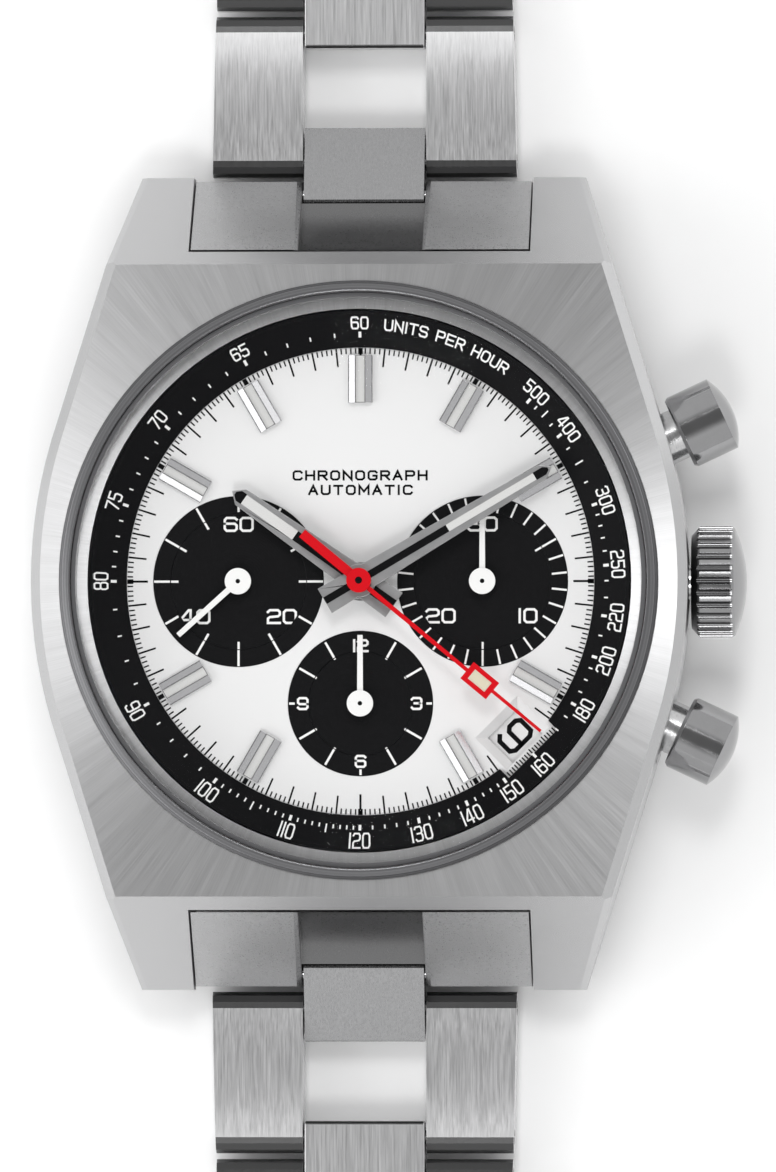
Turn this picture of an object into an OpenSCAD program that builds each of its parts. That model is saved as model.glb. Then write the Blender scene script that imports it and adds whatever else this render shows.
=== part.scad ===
// Chronograph wristwatch on an open-ladder steel bracelet, laid out flat with its dial up.
// Millimetres. +Z points out of the dial, +Y to 12 o'clock and +X to the crown.
// The origin is the centre of the case back's flat face, which is what the watch rests on.

/* [Case] */
// Distance between the lug tips
lug_to_lug = 46.6; // [46.2:0.1:46.8]
// Width across the flanks, without the crown
case_w = 37.4; // [37.2:0.1:37.8]
// Width between the outer corners of two lug tips
lug_tip_w = 25.5; // [25:0.1:26]
// Distance between the two lugs, filled by the end link
lug_gap = 19.5; // [19.2:0.1:20]
// Height of the brushed top face above the resting plane
case_top = 10.2; // [10.1:0.05:10.3]
// Height of the lug tips' upper edge
lug_tip_top = 3.7; // [3.4:0.1:4]
// Width of the polished bevel along the flanks
bevel_w = 0.55; // [0.4:0.05:0.6]
// Diameter of the polished ring round the crystal
bezel_d = 34.1; // [33.6:0.1:34.2]
// Height of the crystal's crown above the resting plane
crystal_top = 12.6; // [12.4:0.1:12.8]

/* [Dial] */
// Visible diameter of the white dial
dial_d = 26.7; // [26.5:0.02:26.76]
// Distance of the three small dials from the centre
sub_offset = 6.97; // [6.9:0.01:7.05]
// Diameter of the two side dials
side_sub_d = 9.8; // [9.5:0.02:9.86]
// Diameter of the lower dial
lower_sub_d = 8.34; // [8:0.02:8.4]
// Minute that the minute hand shows
shown_minute = 9.9; // [9.5:0.1:10.3]

/* [Controls] */
// Diameter of the fluted crown
crown_d = 6.4; // [6:0.1:6.6]
// Number of flutes round the crown
crown_flutes = 28; // [24:1:32]
// Angle of each push button's axis from 3 o'clock
pusher_angle = 25.1; // [24.6:0.1:25.4]
// Diameter of a push button's cap
pusher_d = 4.32; // [4.1:0.02:4.4]
// How far a push button travels
pusher_travel = 0.6; // [0.4:0.1:0.6]

/* [Bracelet] */
// Number of ladder rungs on each side of the case, which NODES repeats
rungs = 5; // [5:1:5]
// Distance between the two pins of a side link
side_pitch = 7.4; // [7.2:0.1:7.6]
// Distance between the two pins of a centre link
centre_pitch = 2.2; // [2.2:0.05:2.4]
// Width of a centre link
centre_w = 6.9; // [6.8:0.05:7]
// Width of the first pair of side links at the case
bracelet_w = 17.5; // [17.2:0.1:17.6]
// Loss of width from one rung to the next
rung_taper = 0.46; // [0.4:0.02:0.5]
// Thickness of the links
link_t = 2.8; // [2.7:0.05:2.9]

/* [Clasp] */
// Distance between the clasp's two end pins
clasp_len = 39.1; // [38.6:0.1:39.2]
// Radius of the clasp's curve through its end pins
clasp_r = 58; // [56:1:60]

/* [Hidden] */
$fn = 96;
SIDES = ["upper", "lower"];

// Colours
STEEL = "silver";
POLISHED = "gainsboro";
BLACK = "#1c1c1c";
WHITE = "whitesmoke";
RED = "crimson";
BRASS = "goldenrod";
GLASS = "lightcyan";

// Running gap between a turning or sliding piece and its seat, on the radius
run_gap = 0.05;
// Gap between pieces that are fixed to each other
fit_gap = 0.02;

// Case
case_bottom = 0.8;
waist_y = 8;                 // the flanks are arcs up to here and straight beyond
flank_r = 28;
flank_x = case_w / 2 - flank_r;
waist_x = flank_x + sqrt(pow(flank_r, 2) - pow(waist_y, 2));
waist_top_x = flank_x + sqrt(pow(flank_r - bevel_w, 2) - pow(waist_y, 2));
tip_x = lug_tip_w / 2;
tip_y = lug_to_lug / 2;
tip_bottom = 1.5;
break_y = 17.99;             // the top face breaks into the lug facets here
lug_root_y = 15.5;
slot_y = 18.75;              // inner end of the slot between the lugs
cavity_r = 15.5;
ledge_z = 9.3;               // seat of the crystal
bezel_recess_r = bezel_d / 2 + fit_gap;

// Crystal
crystal_r = 16.1;
crystal_edge_top = 11;
crystal_wall = 0.9;
crystal_roof = 1.4;
gasket_w = 0.25;

// Case back
back_flange_r = 16.2;
back_spigot_r = cavity_r - fit_gap;
back_window_r = 12.9;
back_glass_t = 1;
back_spigot_top = 2;

// Dial and flange
dial_bottom = 7.2;
dial_top = 7.6;
dial_r = 15;
flange_r = 15.4;
flange_top = 9.15;
sub_depth = 0.1;
sub_rim_w = 0.98;            // the raised track round a side dial
lower_rim_w = 1.15;
marker_len = 2.7;
marker_w = 1.38;
marker_h = 0.5;
marker_r = 11.55;            // distance of a marker's middle from the centre
marker_channel_w = 0.52;
marker_hours = [1, 2, 4, 5, 7, 8, 10, 11, 12];
date_angle = -45;            // the date window's direction from 3 o'clock
date_in = 11.45;             // the window's edges along its radius
date_out = 13.5;
date_half_w = 1.2;
date_bevel = 0.5;
date_tab_out = 13.95;        // the flange is notched this far out round the window
date_tab_half_w = 1.95;

// Hands: each has a blade and a hub on its arbor
arbor_r = 0.3;
arbor_hole_r = 0.45;
centre_hole_r = 1.1;
hour_z = 8.45;
minute_z = 8.95;
chrono_z = 9.45;
sub_z = 8;
blade_t = 0.2;
hour_len = 8.91;
minute_len = 12.73;
chrono_len = 13.45;
hour_angle = 305.2;          // clockwise from 12 o'clock
minute_angle = shown_minute * 6;
chrono_angle = 129.7;
seconds_angle = 228;

// Movement
movement_r = 14.1;
plate_bottom = 3.6;
plate_top = 6.3;
bridge_bottom = 2.3;
bridge_r = 11.6;
bearing_r = 1.9;
rotor_bottom = 1.35;
rotor_t = 0.45;
rotor_r = 13.6;
rotor_rim_w = 1.7;
rotor_rim_top = 3.2;
axis_z = 5.2;                // height of the crown and push button axes
balance_at = [-5.7, 5.9];
balance_r = 3.2;
escape_at = [-9.6, 0.6];
escape_r = 1.5;
fork_at = [-8.5, 2.9];
barrel_at = [4.9, 4.7];
barrel_r = 4.4;
column_at = [8.2, -4.6];
screw_places = [[0.5, 9.6], [-3.6, -9.2], [5, -8.8], [-9.6, -4.2], [10.2, 1.6]];
cock_foot = 4.9;             // from the balance to the cock's screw, towards the centre
cock_bottom = 1.95;
sub_places = [[-sub_offset, 0, side_sub_d, sub_rim_w], [sub_offset, 0, side_sub_d, sub_rim_w],
              [0, -sub_offset, lower_sub_d, lower_rim_w]];

// Controls
crown_in = 18.85;
crown_out = 22;
flute_out = 21.25;
crown_dome_r = 7.3;
stem_r = 0.55;
tube_r = 1;
pusher_tube_r = 1.48;
pusher_cap_in = 20.05;
pusher_cap_out = 23.38;
pusher_dome_r = 4;
pusher_stem_r = 0.6;
pusher_tube_in = 15.75;
pusher_tube_out = 20.6;
pusher_recess = pusher_tube_out - pusher_cap_in + pusher_travel + 0.3;
spring_wire = 0.14;
spring_turns = 5;

// Bracelet: pin heights and positions at rest
pin_r = 0.45;
pin_bore_r = 0.5;
root_pin = [22.3, 2.2];      // y and z of the hinge at the end link
floor_pin_z = link_t / 2;
first_drop = asin((root_pin[1] - floor_pin_z) / centre_pitch);
first_side_y = root_pin[0] + centre_pitch * cos(first_drop);
rung_pitch = side_pitch + centre_pitch;
link_end = 0.93;             // from a pin to the end of its link
centre_end = 1.6;            // from a centre link's outer pin to its end
link_arch_r = 45;
spring_bar_y = 20.2;
spring_bar_z = 3.5;
end_link_top = case_top - 0.25 - (case_top - lug_tip_top) * (slot_y + 0.1 - break_y) / (tip_y - break_y);
side_gap = 0.1;
side_in = centre_w / 2 + side_gap;
clasp_pin_y = first_side_y + rungs * rung_pitch - centre_pitch;

// Clasp: concentric layers about one centre below it
clasp_mid_y = clasp_pin_y + clasp_len / 2;
clasp_centre_z = floor_pin_z - sqrt(pow(clasp_r, 2) - pow(clasp_len / 2, 2));
blade_layer = 0.8;
layer_gap = 0.15;
inner_low = clasp_r - blade_layer;
middle_low = clasp_r + layer_gap;
cover_low = middle_low + blade_layer + layer_gap;
cover_t = 1;
cover_half_w = 7.5;
skirt_t = 0.8;
cover_end = 1.25;            // from an end pin to the cover's edge
cover_hinge_r = 58.2;        // radius of the hinge between cover and middle blade
cover_hinge_in = 2.4;        // its distance from the far end pin
blade_hinge_r = 58.07;
blade_hinge_in = 3.4;
clasp_barrel_r = 0.8;
clasp_tongue_half = 3.4;
clasp_bore_r = 0.42;
clasp_wire_r = 0.38;

// Helpers

// A half-space whose surface passes through p, on the side that n points to
module half_space(p, n, size = 80) {
  translate(p)
    rotate([0, acos(n[2] / norm(n)), atan2(n[1], n[0])])
      translate([-size / 2, -size / 2, 0]) cube([size, size, size]);
}

// Copies its children into all four quarters of the case
module four_ways() {
  for (x = [0, 1], y = [0, 1]) mirror([x, 0, 0]) mirror([0, y, 0]) children();
}

module ring(outer, inner, bottom, top) {
  translate([0, 0, bottom]) difference() {
    cylinder(r = outer, h = top - bottom);
    translate([0, 0, -1]) cylinder(r = inner, h = top - bottom + 2);
  }
}

// A rod along X between two x values, at a given y and z
module rod_x(r, x0, x1, y = 0, z = 0) {
  translate([x0, y, z]) rotate([0, 90, 0]) cylinder(r = r, h = x1 - x0);
}

// Runs its children along X, from a profile drawn in Y and Z
module along_x(x0, x1) {
  translate([x0, 0, 0]) rotate([90, 0, 90]) linear_extrude(x1 - x0) children();
}

// Turns its children clockwise from 12 o'clock about a vertical axis at a point
module clockwise(angle, at = [0, 0]) {
  translate([at[0], at[1], 0]) rotate([0, 0, -angle]) children();
}

// A wheel's outline with simple teeth
module toothed(r, teeth, depth) {
  difference() {
    circle(r = r);
    for (i = [0:teeth - 1])
      rotate(i * 360 / teeth) translate([r - depth, 0])
        polygon([[0, -0.02 * r], [2 * depth, -1.9 * r / teeth], [2 * depth, 1.9 * r / teeth], [0, 0.02 * r]]);
  }
}

// Case

module flank_outline() {
  intersection() {
    translate([flank_x, 0]) circle(r = flank_r);
    translate([-flank_x, 0]) circle(r = flank_r);
    square([case_w + 2, 2 * waist_y], center = true);
  }
  polygon([[tip_x, -tip_y], [waist_x, -waist_y], [waist_x, waist_y], [tip_x, tip_y],
           [-tip_x, tip_y], [-waist_x, waist_y], [-waist_x, -waist_y], [-tip_x, -tip_y]]);
}

module side_outline() {
  polygon([[-lug_root_y, case_bottom], [lug_root_y, case_bottom], [tip_y, tip_bottom],
           [tip_y, lug_tip_top], [break_y, case_top], [-break_y, case_top],
           [-tip_y, lug_tip_top], [-tip_y, tip_bottom]]);
}

// The bevel along one straight flank and along its lug's sloping edge
module straight_bevels() {
  flank = [tip_x - waist_x, tip_y - waist_y, 0];
  side_normal = [flank[1], -flank[0], 0] / norm(flank);
  top_normal = cross(flank, [waist_top_x - waist_x, 0, bevel_w]);
  facet = [0, case_top - lug_tip_top, tip_y - break_y];
  facet_normal = facet / norm(facet);
  lug_edge = [waist_x, waist_y, 0] + flank * (break_y - waist_y) / flank[1];
  difference() {
    half_space([waist_x, waist_y, case_top - bevel_w], top_normal);
    translate([-40, waist_y - 80, -20]) cube([80, 80, 60]);
  }
  half_space([lug_edge[0], lug_edge[1], case_top - bevel_w], side_normal + facet_normal);
}

module waist_bevel() {
  intersection() {
    translate([flank_x, 0, 0])
      rotate_extrude()
        polygon([[flank_r - bevel_w, case_top], [flank_r + 2, case_top - bevel_w - 2],
                 [flank_r + 2, case_top + 1], [flank_r - bevel_w, case_top + 1]]);
    translate([0, -waist_y, 0]) cube([case_w, 2 * waist_y, 20]);
  }
}

module pusher_axis(m) {
  mirror([0, m, 0]) translate([0, 0, axis_z]) rotate([0, 90, pusher_angle]) children();
}

module mid_case() {
  color(STEEL) difference() {
    intersection() {
      translate([0, 0, case_bottom]) linear_extrude(case_top) flank_outline();
      along_x(-case_w, case_w) side_outline();
    }
    four_ways() straight_bevels();
    for (m = [0, 1]) mirror([m, 0, 0]) waist_bevel();
    for (m = [0, 1]) mirror([0, m, 0])
      translate([-lug_gap / 2, slot_y, -1]) cube([lug_gap, 10, 20]);
    translate([0, 0, -1]) cylinder(r = cavity_r, h = 20);
    translate([0, 0, ledge_z]) cylinder(r = bezel_recess_r, h = 10);
    rod_x(tube_r + fit_gap, 14, 20, 0, axis_z);
    for (m = [0, 1]) pusher_axis(m) {
      cylinder(r = pusher_tube_r + fit_gap, h = 25);
      translate([0, 0, pusher_cap_in - pusher_travel - 0.12]) cylinder(r = pusher_d / 2 + 0.15, h = 5);
    }
    for (m = [0, 1]) mirror([0, m, 0])
      rod_x(pin_r + fit_gap, -11.6, 11.6, spring_bar_y, spring_bar_z);
  }
}

module bezel_ring() {
  outer = bezel_d / 2;
  inner = crystal_r + gasket_w + fit_gap;
  color(POLISHED) rotate_extrude()
    polygon([[inner, ledge_z + fit_gap], [outer, ledge_z + fit_gap], [outer, case_top + 0.25],
             [outer - 0.2, case_top + 0.6], [inner + 0.1, case_top + 0.75], [inner, case_top + 0.65]]);
}

module crystal() {
  dome_rise = crystal_top - crystal_edge_top;
  dome_r = (pow(crystal_r, 2) + pow(dome_rise, 2)) / (2 * dome_rise);
  pocket_r = crystal_r - crystal_wall;
  color(GLASS, 0.4) translate([0, 0, ledge_z + fit_gap]) difference() {
    intersection() {
      cylinder(r = crystal_r, h = crystal_top);
      translate([0, 0, crystal_top - ledge_z - fit_gap - dome_r]) sphere(r = dome_r);
    }
    intersection() {
      translate([0, 0, -1]) cylinder(r = pocket_r, h = 5);
      translate([0, 0, crystal_top - ledge_z - fit_gap - crystal_roof - dome_r]) sphere(r = dome_r);
    }
  }
}

module crystal_gasket() {
  color(WHITE) ring(crystal_r + gasket_w, crystal_r + 0.01, ledge_z + fit_gap, case_top + 0.3);
}

module tachymeter_flange() {
  color(BLACK) difference() {
    rotate_extrude()
      polygon([[dial_d / 2, dial_top + fit_gap], [flange_r, dial_top + fit_gap],
               [flange_r, flange_top], [dial_d / 2, dial_top + 0.15]]);
    rotate(date_angle) translate([10, -date_tab_half_w, 0])
      cube([date_tab_out - 10, 2 * date_tab_half_w, 20]);
  }
}

module case_back() {
  color(STEEL) difference() {
    union() {
      cylinder(r1 = back_flange_r - 0.4, r2 = back_flange_r, h = 0.4);
      translate([0, 0, 0.4]) cylinder(r = back_flange_r, h = case_bottom - 0.42);
      cylinder(r = back_spigot_r, h = back_spigot_top);
    }
    translate([0, 0, -1]) cylinder(r = back_window_r, h = 1 + back_glass_t + fit_gap);
    translate([0, 0, -1]) cylinder(r = back_window_r - 0.6, h = 5);
    translate([0, 0, back_glass_t + 0.2]) cylinder(r = back_window_r + 1.4, h = 5);
    for (i = [0:5]) rotate(i * 60 + 30)
      translate([back_flange_r - 0.9, -0.9, -1]) cube([3, 1.8, 1.45]);
  }
}

module case_back_crystal() {
  color(GLASS, 0.4) cylinder(r = back_window_r - fit_gap, h = back_glass_t);
}

// Dial

// The date window, bevelled on the three sides that face the dial
module date_window() {
  rise = dial_top - dial_bottom;
  rotate(date_angle) {
    intersection() {
      half_space([date_in - date_bevel, 0, dial_top], [rise, 0, date_bevel]);
      half_space([0, date_half_w + date_bevel, dial_top], [0, -rise, date_bevel]);
      half_space([0, -date_half_w - date_bevel, dial_top], [0, rise, date_bevel]);
      translate([date_in - 2, -5, dial_bottom]) cube([date_out - date_in + 2, 10, 5]);
    }
    translate([date_in, -date_half_w, 5]) cube([date_out - date_in, 2 * date_half_w, 5]);
  }
}

module dial() {
  color(WHITE) difference() {
    translate([0, 0, dial_bottom]) cylinder(r = dial_r, h = dial_top - dial_bottom);
    translate([0, 0, dial_bottom - 1]) cylinder(r = centre_hole_r, h = 3);
    for (p = sub_places) translate([p[0], p[1], dial_bottom - 1]) cylinder(r = arbor_hole_r, h = 3);
    for (p = sub_places) translate([p[0], p[1], dial_top - sub_depth]) {
      cylinder(d = p[2], h = 1);
      translate([0, 0, -0.08]) cylinder(r = p[2] / 2 - p[3], h = 1);
    }
    date_window();
  }
}

module marker() {
  half = marker_w / 2;
  difference() {
    translate([0, marker_r + marker_len / 2, dial_top])
      rotate([90, 0, 0]) linear_extrude(marker_len)
        polygon([[-half, 0], [half, 0], [half, 0.2], [half - 0.25, marker_h],
                 [0.25 - half, marker_h], [-half, 0.2]]);
    translate([-marker_channel_w / 2, marker_r - marker_len, dial_top + marker_h - 0.12])
      cube([marker_channel_w, 2 * marker_len, 1]);
  }
}

module hour_markers() {
  color(POLISHED) for (h = marker_hours) clockwise(h * 30) marker();
}

module date_disc() {
  color(WHITE) ring(13.9, 10.2, 6.75, 6.95);
}

// Hands, drawn pointing to 12 o'clock and then turned

// A flat blade that narrows from the end of its tail to the start of its point
module baton(tip_w, tail_w, len, tail, z) {
  shoulder = len - 0.6;
  side = [[-tip_w / 2, shoulder], [-tail_w / 2, -tail], [tail_w / 2, -tail], [tip_w / 2, shoulder]];
  translate([0, 0, z]) linear_extrude(blade_t) polygon(concat(side, [[0, len]]));
}

// A hub with its pipe: it reaches from the movement to the hand
module hub(r, z, rise, pipe_r, pipe_bottom) {
  translate([0, 0, z]) cylinder(r = r, h = blade_t + rise);
  translate([0, 0, pipe_bottom]) cylinder(r = pipe_r, h = z + 0.01 - pipe_bottom);
}

module hour_hand() {
  color(POLISHED) clockwise(hour_angle) difference() {
    union() {
      baton(1.09, 1.7, hour_len, 2.4, hour_z);
      hub(1.05, hour_z, 0, 0.95, plate_top + 0.15);
      translate([0, 0, plate_top + 0.15]) cylinder(r = 2.6, h = 0.25);
    }
    cylinder(r = 0.75, h = 20);
  }
}

module minute_hand() {
  color(POLISHED) clockwise(minute_angle) difference() {
    union() {
      baton(0.93, 1.61, minute_len, 2.28, minute_z);
      hub(0.95, minute_z, 0, 0.7, plate_top + 0.05);
    }
    cylinder(r = 0.4, h = 20);
  }
}

module chronograph_hand() {
  lume = [8.01, 9.89];
  color(RED) clockwise(chrono_angle) difference() {
    union() {
      translate([0, 0, chrono_z]) linear_extrude(blade_t) {
        polygon([[-0.14, 0], [0.14, 0], [0.09, chrono_len], [-0.09, chrono_len]]);
        translate([-0.27, -4.2]) square([0.54, 4.2]);
        translate([-0.6, lume[0]]) square([1.2, lume[1] - lume[0]]);
      }
      hub(0.7, chrono_z, 0.35, 0.35, plate_top - 0.5);
    }
    translate([-0.33, lume[0] + 0.33, 0]) cube([0.66, lume[1] - lume[0] - 0.66, 20]);
  }
}

module small_hand(len) {
  translate([0, 0, sub_z]) linear_extrude(0.15)
    polygon([[-0.17, 0], [0.17, 0], [0.15, len], [-0.15, len]]);
  hub(0.75, sub_z, 0.1, arbor_r, plate_top - 0.5);
}

module running_seconds_hand() {
  color(WHITE) clockwise(seconds_angle, sub_places[0]) small_hand(4.6);
}

module minute_counter_hand() {
  color(WHITE) clockwise(0, sub_places[1]) small_hand(4);
}

module hour_counter_hand() {
  color(WHITE) clockwise(0, sub_places[2]) small_hand(3.9);
}

// Movement

module movement_ring() {
  color(STEEL) difference() {
    ring(cavity_r - 0.1, movement_r + fit_gap, rotor_rim_top + 0.2, dial_bottom - fit_gap);
    rod_x(0.75, 13, 17, 0, axis_z);
    for (m = [0, 1]) pusher_axis(m) cylinder(r = pusher_tube_r + 0.1, h = 25);
  }
}

module main_plate() {
  color(STEEL) difference() {
    translate([0, 0, plate_bottom]) cylinder(r = movement_r, h = plate_top - plate_bottom);
    translate([0, 0, plate_top - 0.6]) cylinder(r = 0.4, h = 5);
    for (p = sub_places) translate([p[0], p[1], plate_top - 0.6]) cylinder(r = arbor_r + run_gap, h = 5);
    translate([balance_at[0], balance_at[1], 0]) cylinder(r = balance_r + 0.4, h = plate_bottom + 0.5);
    translate([fork_at[0], fork_at[1], 0]) cylinder(r = 1.9, h = plate_bottom + 0.5);
    translate([escape_at[0], escape_at[1], 0]) cylinder(r = escape_r + 0.25, h = plate_bottom + 0.5);
    translate([barrel_at[0], barrel_at[1], 0]) cylinder(r = barrel_r + 0.2, h = plate_bottom + 0.8);
    translate([column_at[0], column_at[1], 0]) cylinder(r = 1.7, h = plate_bottom + 0.5);
    rod_x(stem_r + run_gap, 8, 20, 0, axis_z);
    for (m = [0, 1]) pusher_axis(m) translate([0, 0, 13]) cylinder(r = pusher_stem_r + 0.1, h = 5);
    for (p = screw_places) translate([p[0], p[1], 0]) cylinder(r = 0.37, h = 5);
  }
}

module train_bridge() {
  color(STEEL) difference() {
    translate([0, 0, bridge_bottom]) cylinder(r = bridge_r, h = plate_bottom - fit_gap - bridge_bottom);
    translate([balance_at[0], balance_at[1], 0]) cylinder(r = balance_r + 0.6, h = 5);
    rotate(atan2(balance_at[1], balance_at[0])) translate([7, -balance_r - 0.6, 0])
      cube([8, 2 * balance_r + 1.2, 5]);
    translate([fork_at[0], fork_at[1], 0]) cylinder(r = 2, h = 5);
    translate([escape_at[0], escape_at[1], 0]) cylinder(r = escape_r + 0.35, h = 5);
    translate([barrel_at[0], barrel_at[1], 0]) cylinder(r = barrel_r + 0.15, h = 5);
    translate([column_at[0], column_at[1], 0]) cylinder(r = 1.8, h = 5);
    translate([0, 0, 0]) cylinder(r = bearing_r + fit_gap, h = bridge_bottom + 0.5);
    for (p = screw_places) translate([p[0], p[1], 0]) {
      cylinder(r = 0.37, h = 5);
      cylinder(r = 0.82, h = bridge_bottom + 0.35);
    }
    on_cock() translate([-cock_foot, 0, 0]) cylinder(r = 0.37, h = 1.5);
  }
}

// Draws its children with the balance on +X, at the height of the cock's face
module on_cock() {
  rotate(atan2(balance_at[1], balance_at[0])) translate([norm(balance_at), 0, cock_bottom]) children();
}

module balance_cock() {
  thick = bridge_bottom - fit_gap - cock_bottom;
  color(STEEL) on_cock() difference() {
    union() {
      cylinder(r = 1.1, h = thick);
      translate([-cock_foot, -1.1, 0]) cube([cock_foot, 2.2, thick]);
      translate([-cock_foot, 0, 0]) cylinder(r = 1.4, h = thick);
    }
    translate([0, 0, -1]) cylinder(r = 0.12 + run_gap, h = 5);
    translate([-cock_foot, 0, -1]) cylinder(r = 0.37, h = 5);
    translate([-cock_foot, 0, -1]) cylinder(r = 0.7, h = 1.15);
  }
}

module movement_screws() {
  color("steelblue") {
    for (p = screw_places) translate([p[0], p[1], bridge_bottom]) screw(0.78, 0.33, 2.3);
    on_cock() translate([-cock_foot, 0, 0]) screw(0.68, 0.13, 1.4);
  }
}

module screw(head_r, head_h, len) {
  difference() {
    union() {
      cylinder(r = head_r, h = head_h);
      cylinder(r = 0.35, h = len);
    }
    translate([-1, -0.1, -1]) cube([2, 0.2, 1.1]);
  }
}

module rotor_bearing() {
  color(STEEL) {
    translate([0, 0, rotor_bottom - 0.1]) cylinder(r = 0.7, h = bridge_bottom + 0.48 - rotor_bottom + 0.1);
    ring(bearing_r, 0.6, bridge_bottom - 0.15, bridge_bottom + 0.48);
    translate([0, 0, rotor_bottom - 0.25]) cylinder(r = 1.1, h = 0.18);
  }
}

module rotor() {
  color(STEEL) difference() {
    union() {
      translate([0, 0, rotor_bottom]) cylinder(r = 2.6, h = rotor_t);
      intersection() {
        union() {
          translate([0, 0, rotor_bottom]) cylinder(r = rotor_r, h = rotor_t);
          ring(rotor_r, rotor_r - rotor_rim_w, rotor_bottom, rotor_rim_top);
        }
        translate([-20, -20, 0]) cube([40, 20 + 0.6, 10]);
      }
    }
    translate([0, 0, -1]) cylinder(r = 0.7 + run_gap, h = 10);
    for (s = [-1, 0, 1]) rotate(s * 52 - 90) translate([7, 0, 0])
      linear_extrude(rotor_bottom + 1) intersection() {
        square([6, 4.4], center = true);
        circle(r = 2.7);
      }
  }
}

module balance_wheel() {
  z = 2.9;
  color(BRASS) translate([balance_at[0], balance_at[1], 0]) difference() {
    union() {
      ring(balance_r, balance_r - 0.5, z, z + 0.45);
      translate([-balance_r + 0.2, -0.3, z]) cube([2 * balance_r - 0.4, 0.6, 0.3]);
      translate([0, 0, 2.8]) cylinder(r = 0.55, h = 0.8);
      translate([0, 0, 2.05]) cylinder(r = 0.12, h = 1.95);
      ring(1.5, 1.32, 2.7, 2.78);
      ring(1.02, 0.84, 2.7, 2.78);
      translate([-1.4, -0.08, 2.7]) cube([1.4, 0.16, 0.08]);
      translate([-0.5, -0.1, 2.7]) cube([0.5, 0.2, 0.2]);
    }
    for (i = [0:7]) rotate(i * 45 + 22.5) translate([balance_r - 0.25, 0, z - 1]) cylinder(r = 0.1, h = 1.1);
  }
}

module escape_wheel() {
  color(STEEL) translate([escape_at[0], escape_at[1], 0]) {
    translate([0, 0, 3.1]) linear_extrude(0.2) toothed(escape_r, 20, 0.3);
    translate([0, 0, 2.75]) cylinder(r = 0.25, h = 1.2);
  }
}

module pallet_fork() {
  color(STEEL) translate([fork_at[0], fork_at[1], 3.45]) {
    cylinder(r = 0.3, h = 0.2);
    rotate(atan2(balance_at[1] - fork_at[1], balance_at[0] - fork_at[0])) {
      translate([0, -0.12, 0]) cube([1.75, 0.24, 0.2]);
      translate([-0.3, -0.8, 0]) cube([0.35, 1.6, 0.2]);
    }
  }
}

module mainspring_barrel() {
  color(BRASS) translate([barrel_at[0], barrel_at[1], 0]) {
    translate([0, 0, 2.75]) linear_extrude(0.3) toothed(barrel_r, 72, 0.22);
    translate([0, 0, 3]) cylinder(r = barrel_r - 0.4, h = 1.2);
    translate([0, 0, 2.4]) cylinder(r = 0.7, h = 0.4);
  }
}

module column_wheel() {
  color(STEEL) translate([column_at[0], column_at[1], 0]) {
    translate([0, 0, 3.1]) linear_extrude(0.3) toothed(1.45, 12, 0.25);
    for (i = [0:5]) rotate(i * 60) translate([0.75, -0.24, 2.4]) cube([0.42, 0.48, 0.72]);
    translate([0, 0, 2.5]) cylinder(r = 0.35, h = 1.5);
  }
}

// Controls

module case_tubes() {
  color(STEEL) {
    difference() {
      rod_x(tube_r, 15.65, 19.9, 0, axis_z);
      rod_x(stem_r + run_gap, 14, 21, 0, axis_z);
    }
    for (m = [0, 1]) pusher_axis(m) difference() {
      translate([0, 0, pusher_tube_in]) cylinder(r = pusher_tube_r, h = pusher_tube_out - pusher_tube_in);
      cylinder(r = pusher_stem_r + run_gap, h = 30);
      translate([0, 0, pusher_tube_in + 1]) cylinder(r = 1.1, h = 10);
    }
  }
}

module crown() {
  r = crown_d / 2;
  color(POLISHED) translate([0, 0, axis_z]) rotate([0, 90, 0]) difference() {
    rotate_extrude() difference() {
      intersection() {
        polygon([[0, crown_in], [r - 0.55, crown_in], [r, crown_in + 0.5], [r, flute_out - 0.1],
                 [r - 0.15, flute_out + 0.08], [0, flute_out + 2]]);
        translate([0, crown_out - crown_dome_r]) circle(r = crown_dome_r);
      }
      translate([-1, crown_in - 1]) square([1 + tube_r + run_gap, 2]);
    }
    translate([0, 0, crown_in - 1]) cylinder(r = 1.7, h = 1.8);
    translate([0, 0, crown_in - 1]) cylinder(r = tube_r + run_gap, h = 3.0);
    translate([0, 0, crown_in]) cylinder(r = stem_r + fit_gap, h = 2.3);
    for (i = [0:crown_flutes - 1]) rotate(i * 360 / crown_flutes)
      translate([r + 0.02, 0, crown_in - 1]) cylinder(r = 0.22, h = flute_out - crown_in + 0.95);
  }
}

module winding_stem() {
  color(STEEL) rod_x(stem_r, 9.5, crown_in + 2.25, 0, axis_z);
}

module pusher_body() {
  r = pusher_d / 2;
  difference() {
    union() {
      rotate_extrude() intersection() {
        polygon([[0, pusher_cap_in], [r - 0.15, pusher_cap_in], [r, pusher_cap_in + 0.2],
                 [r, pusher_cap_out - 0.5], [0, pusher_cap_out + 1]]);
        translate([0, pusher_cap_out - pusher_dome_r]) circle(r = pusher_dome_r);
      }
      translate([0, 0, 14.6]) cylinder(r = pusher_stem_r, h = 7);
    }
    difference() {
      translate([0, 0, pusher_cap_in - 1]) cylinder(r = pusher_tube_r + run_gap, h = 1 + pusher_recess);
      cylinder(r = pusher_stem_r, h = 30);
    }
  }
}

module start_pusher() {
  color(POLISHED) pusher_axis(0) pusher_body();
}

module reset_pusher() {
  color(POLISHED) pusher_axis(1) pusher_body();
}

// A pusher's return spring, as a stack of turns joined by short bars
module pusher_spring() {
  bottom = pusher_tube_in + 1.06;
  top = pusher_cap_in + pusher_recess - 0.1;
  step = (top - bottom - 2 * spring_wire) / spring_turns;
  color(STEEL) for (i = [0:spring_turns]) translate([0, 0, bottom + spring_wire + i * step]) {
    rotate_extrude() translate([0.88, 0]) circle(r = spring_wire);
    if (i < spring_turns) rotate(i * 180) translate([0.88, 0, 0]) cylinder(r = 0.1, h = step);
  }
}

module start_pusher_spring() {
  pusher_axis(0) pusher_spring();
}

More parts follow.
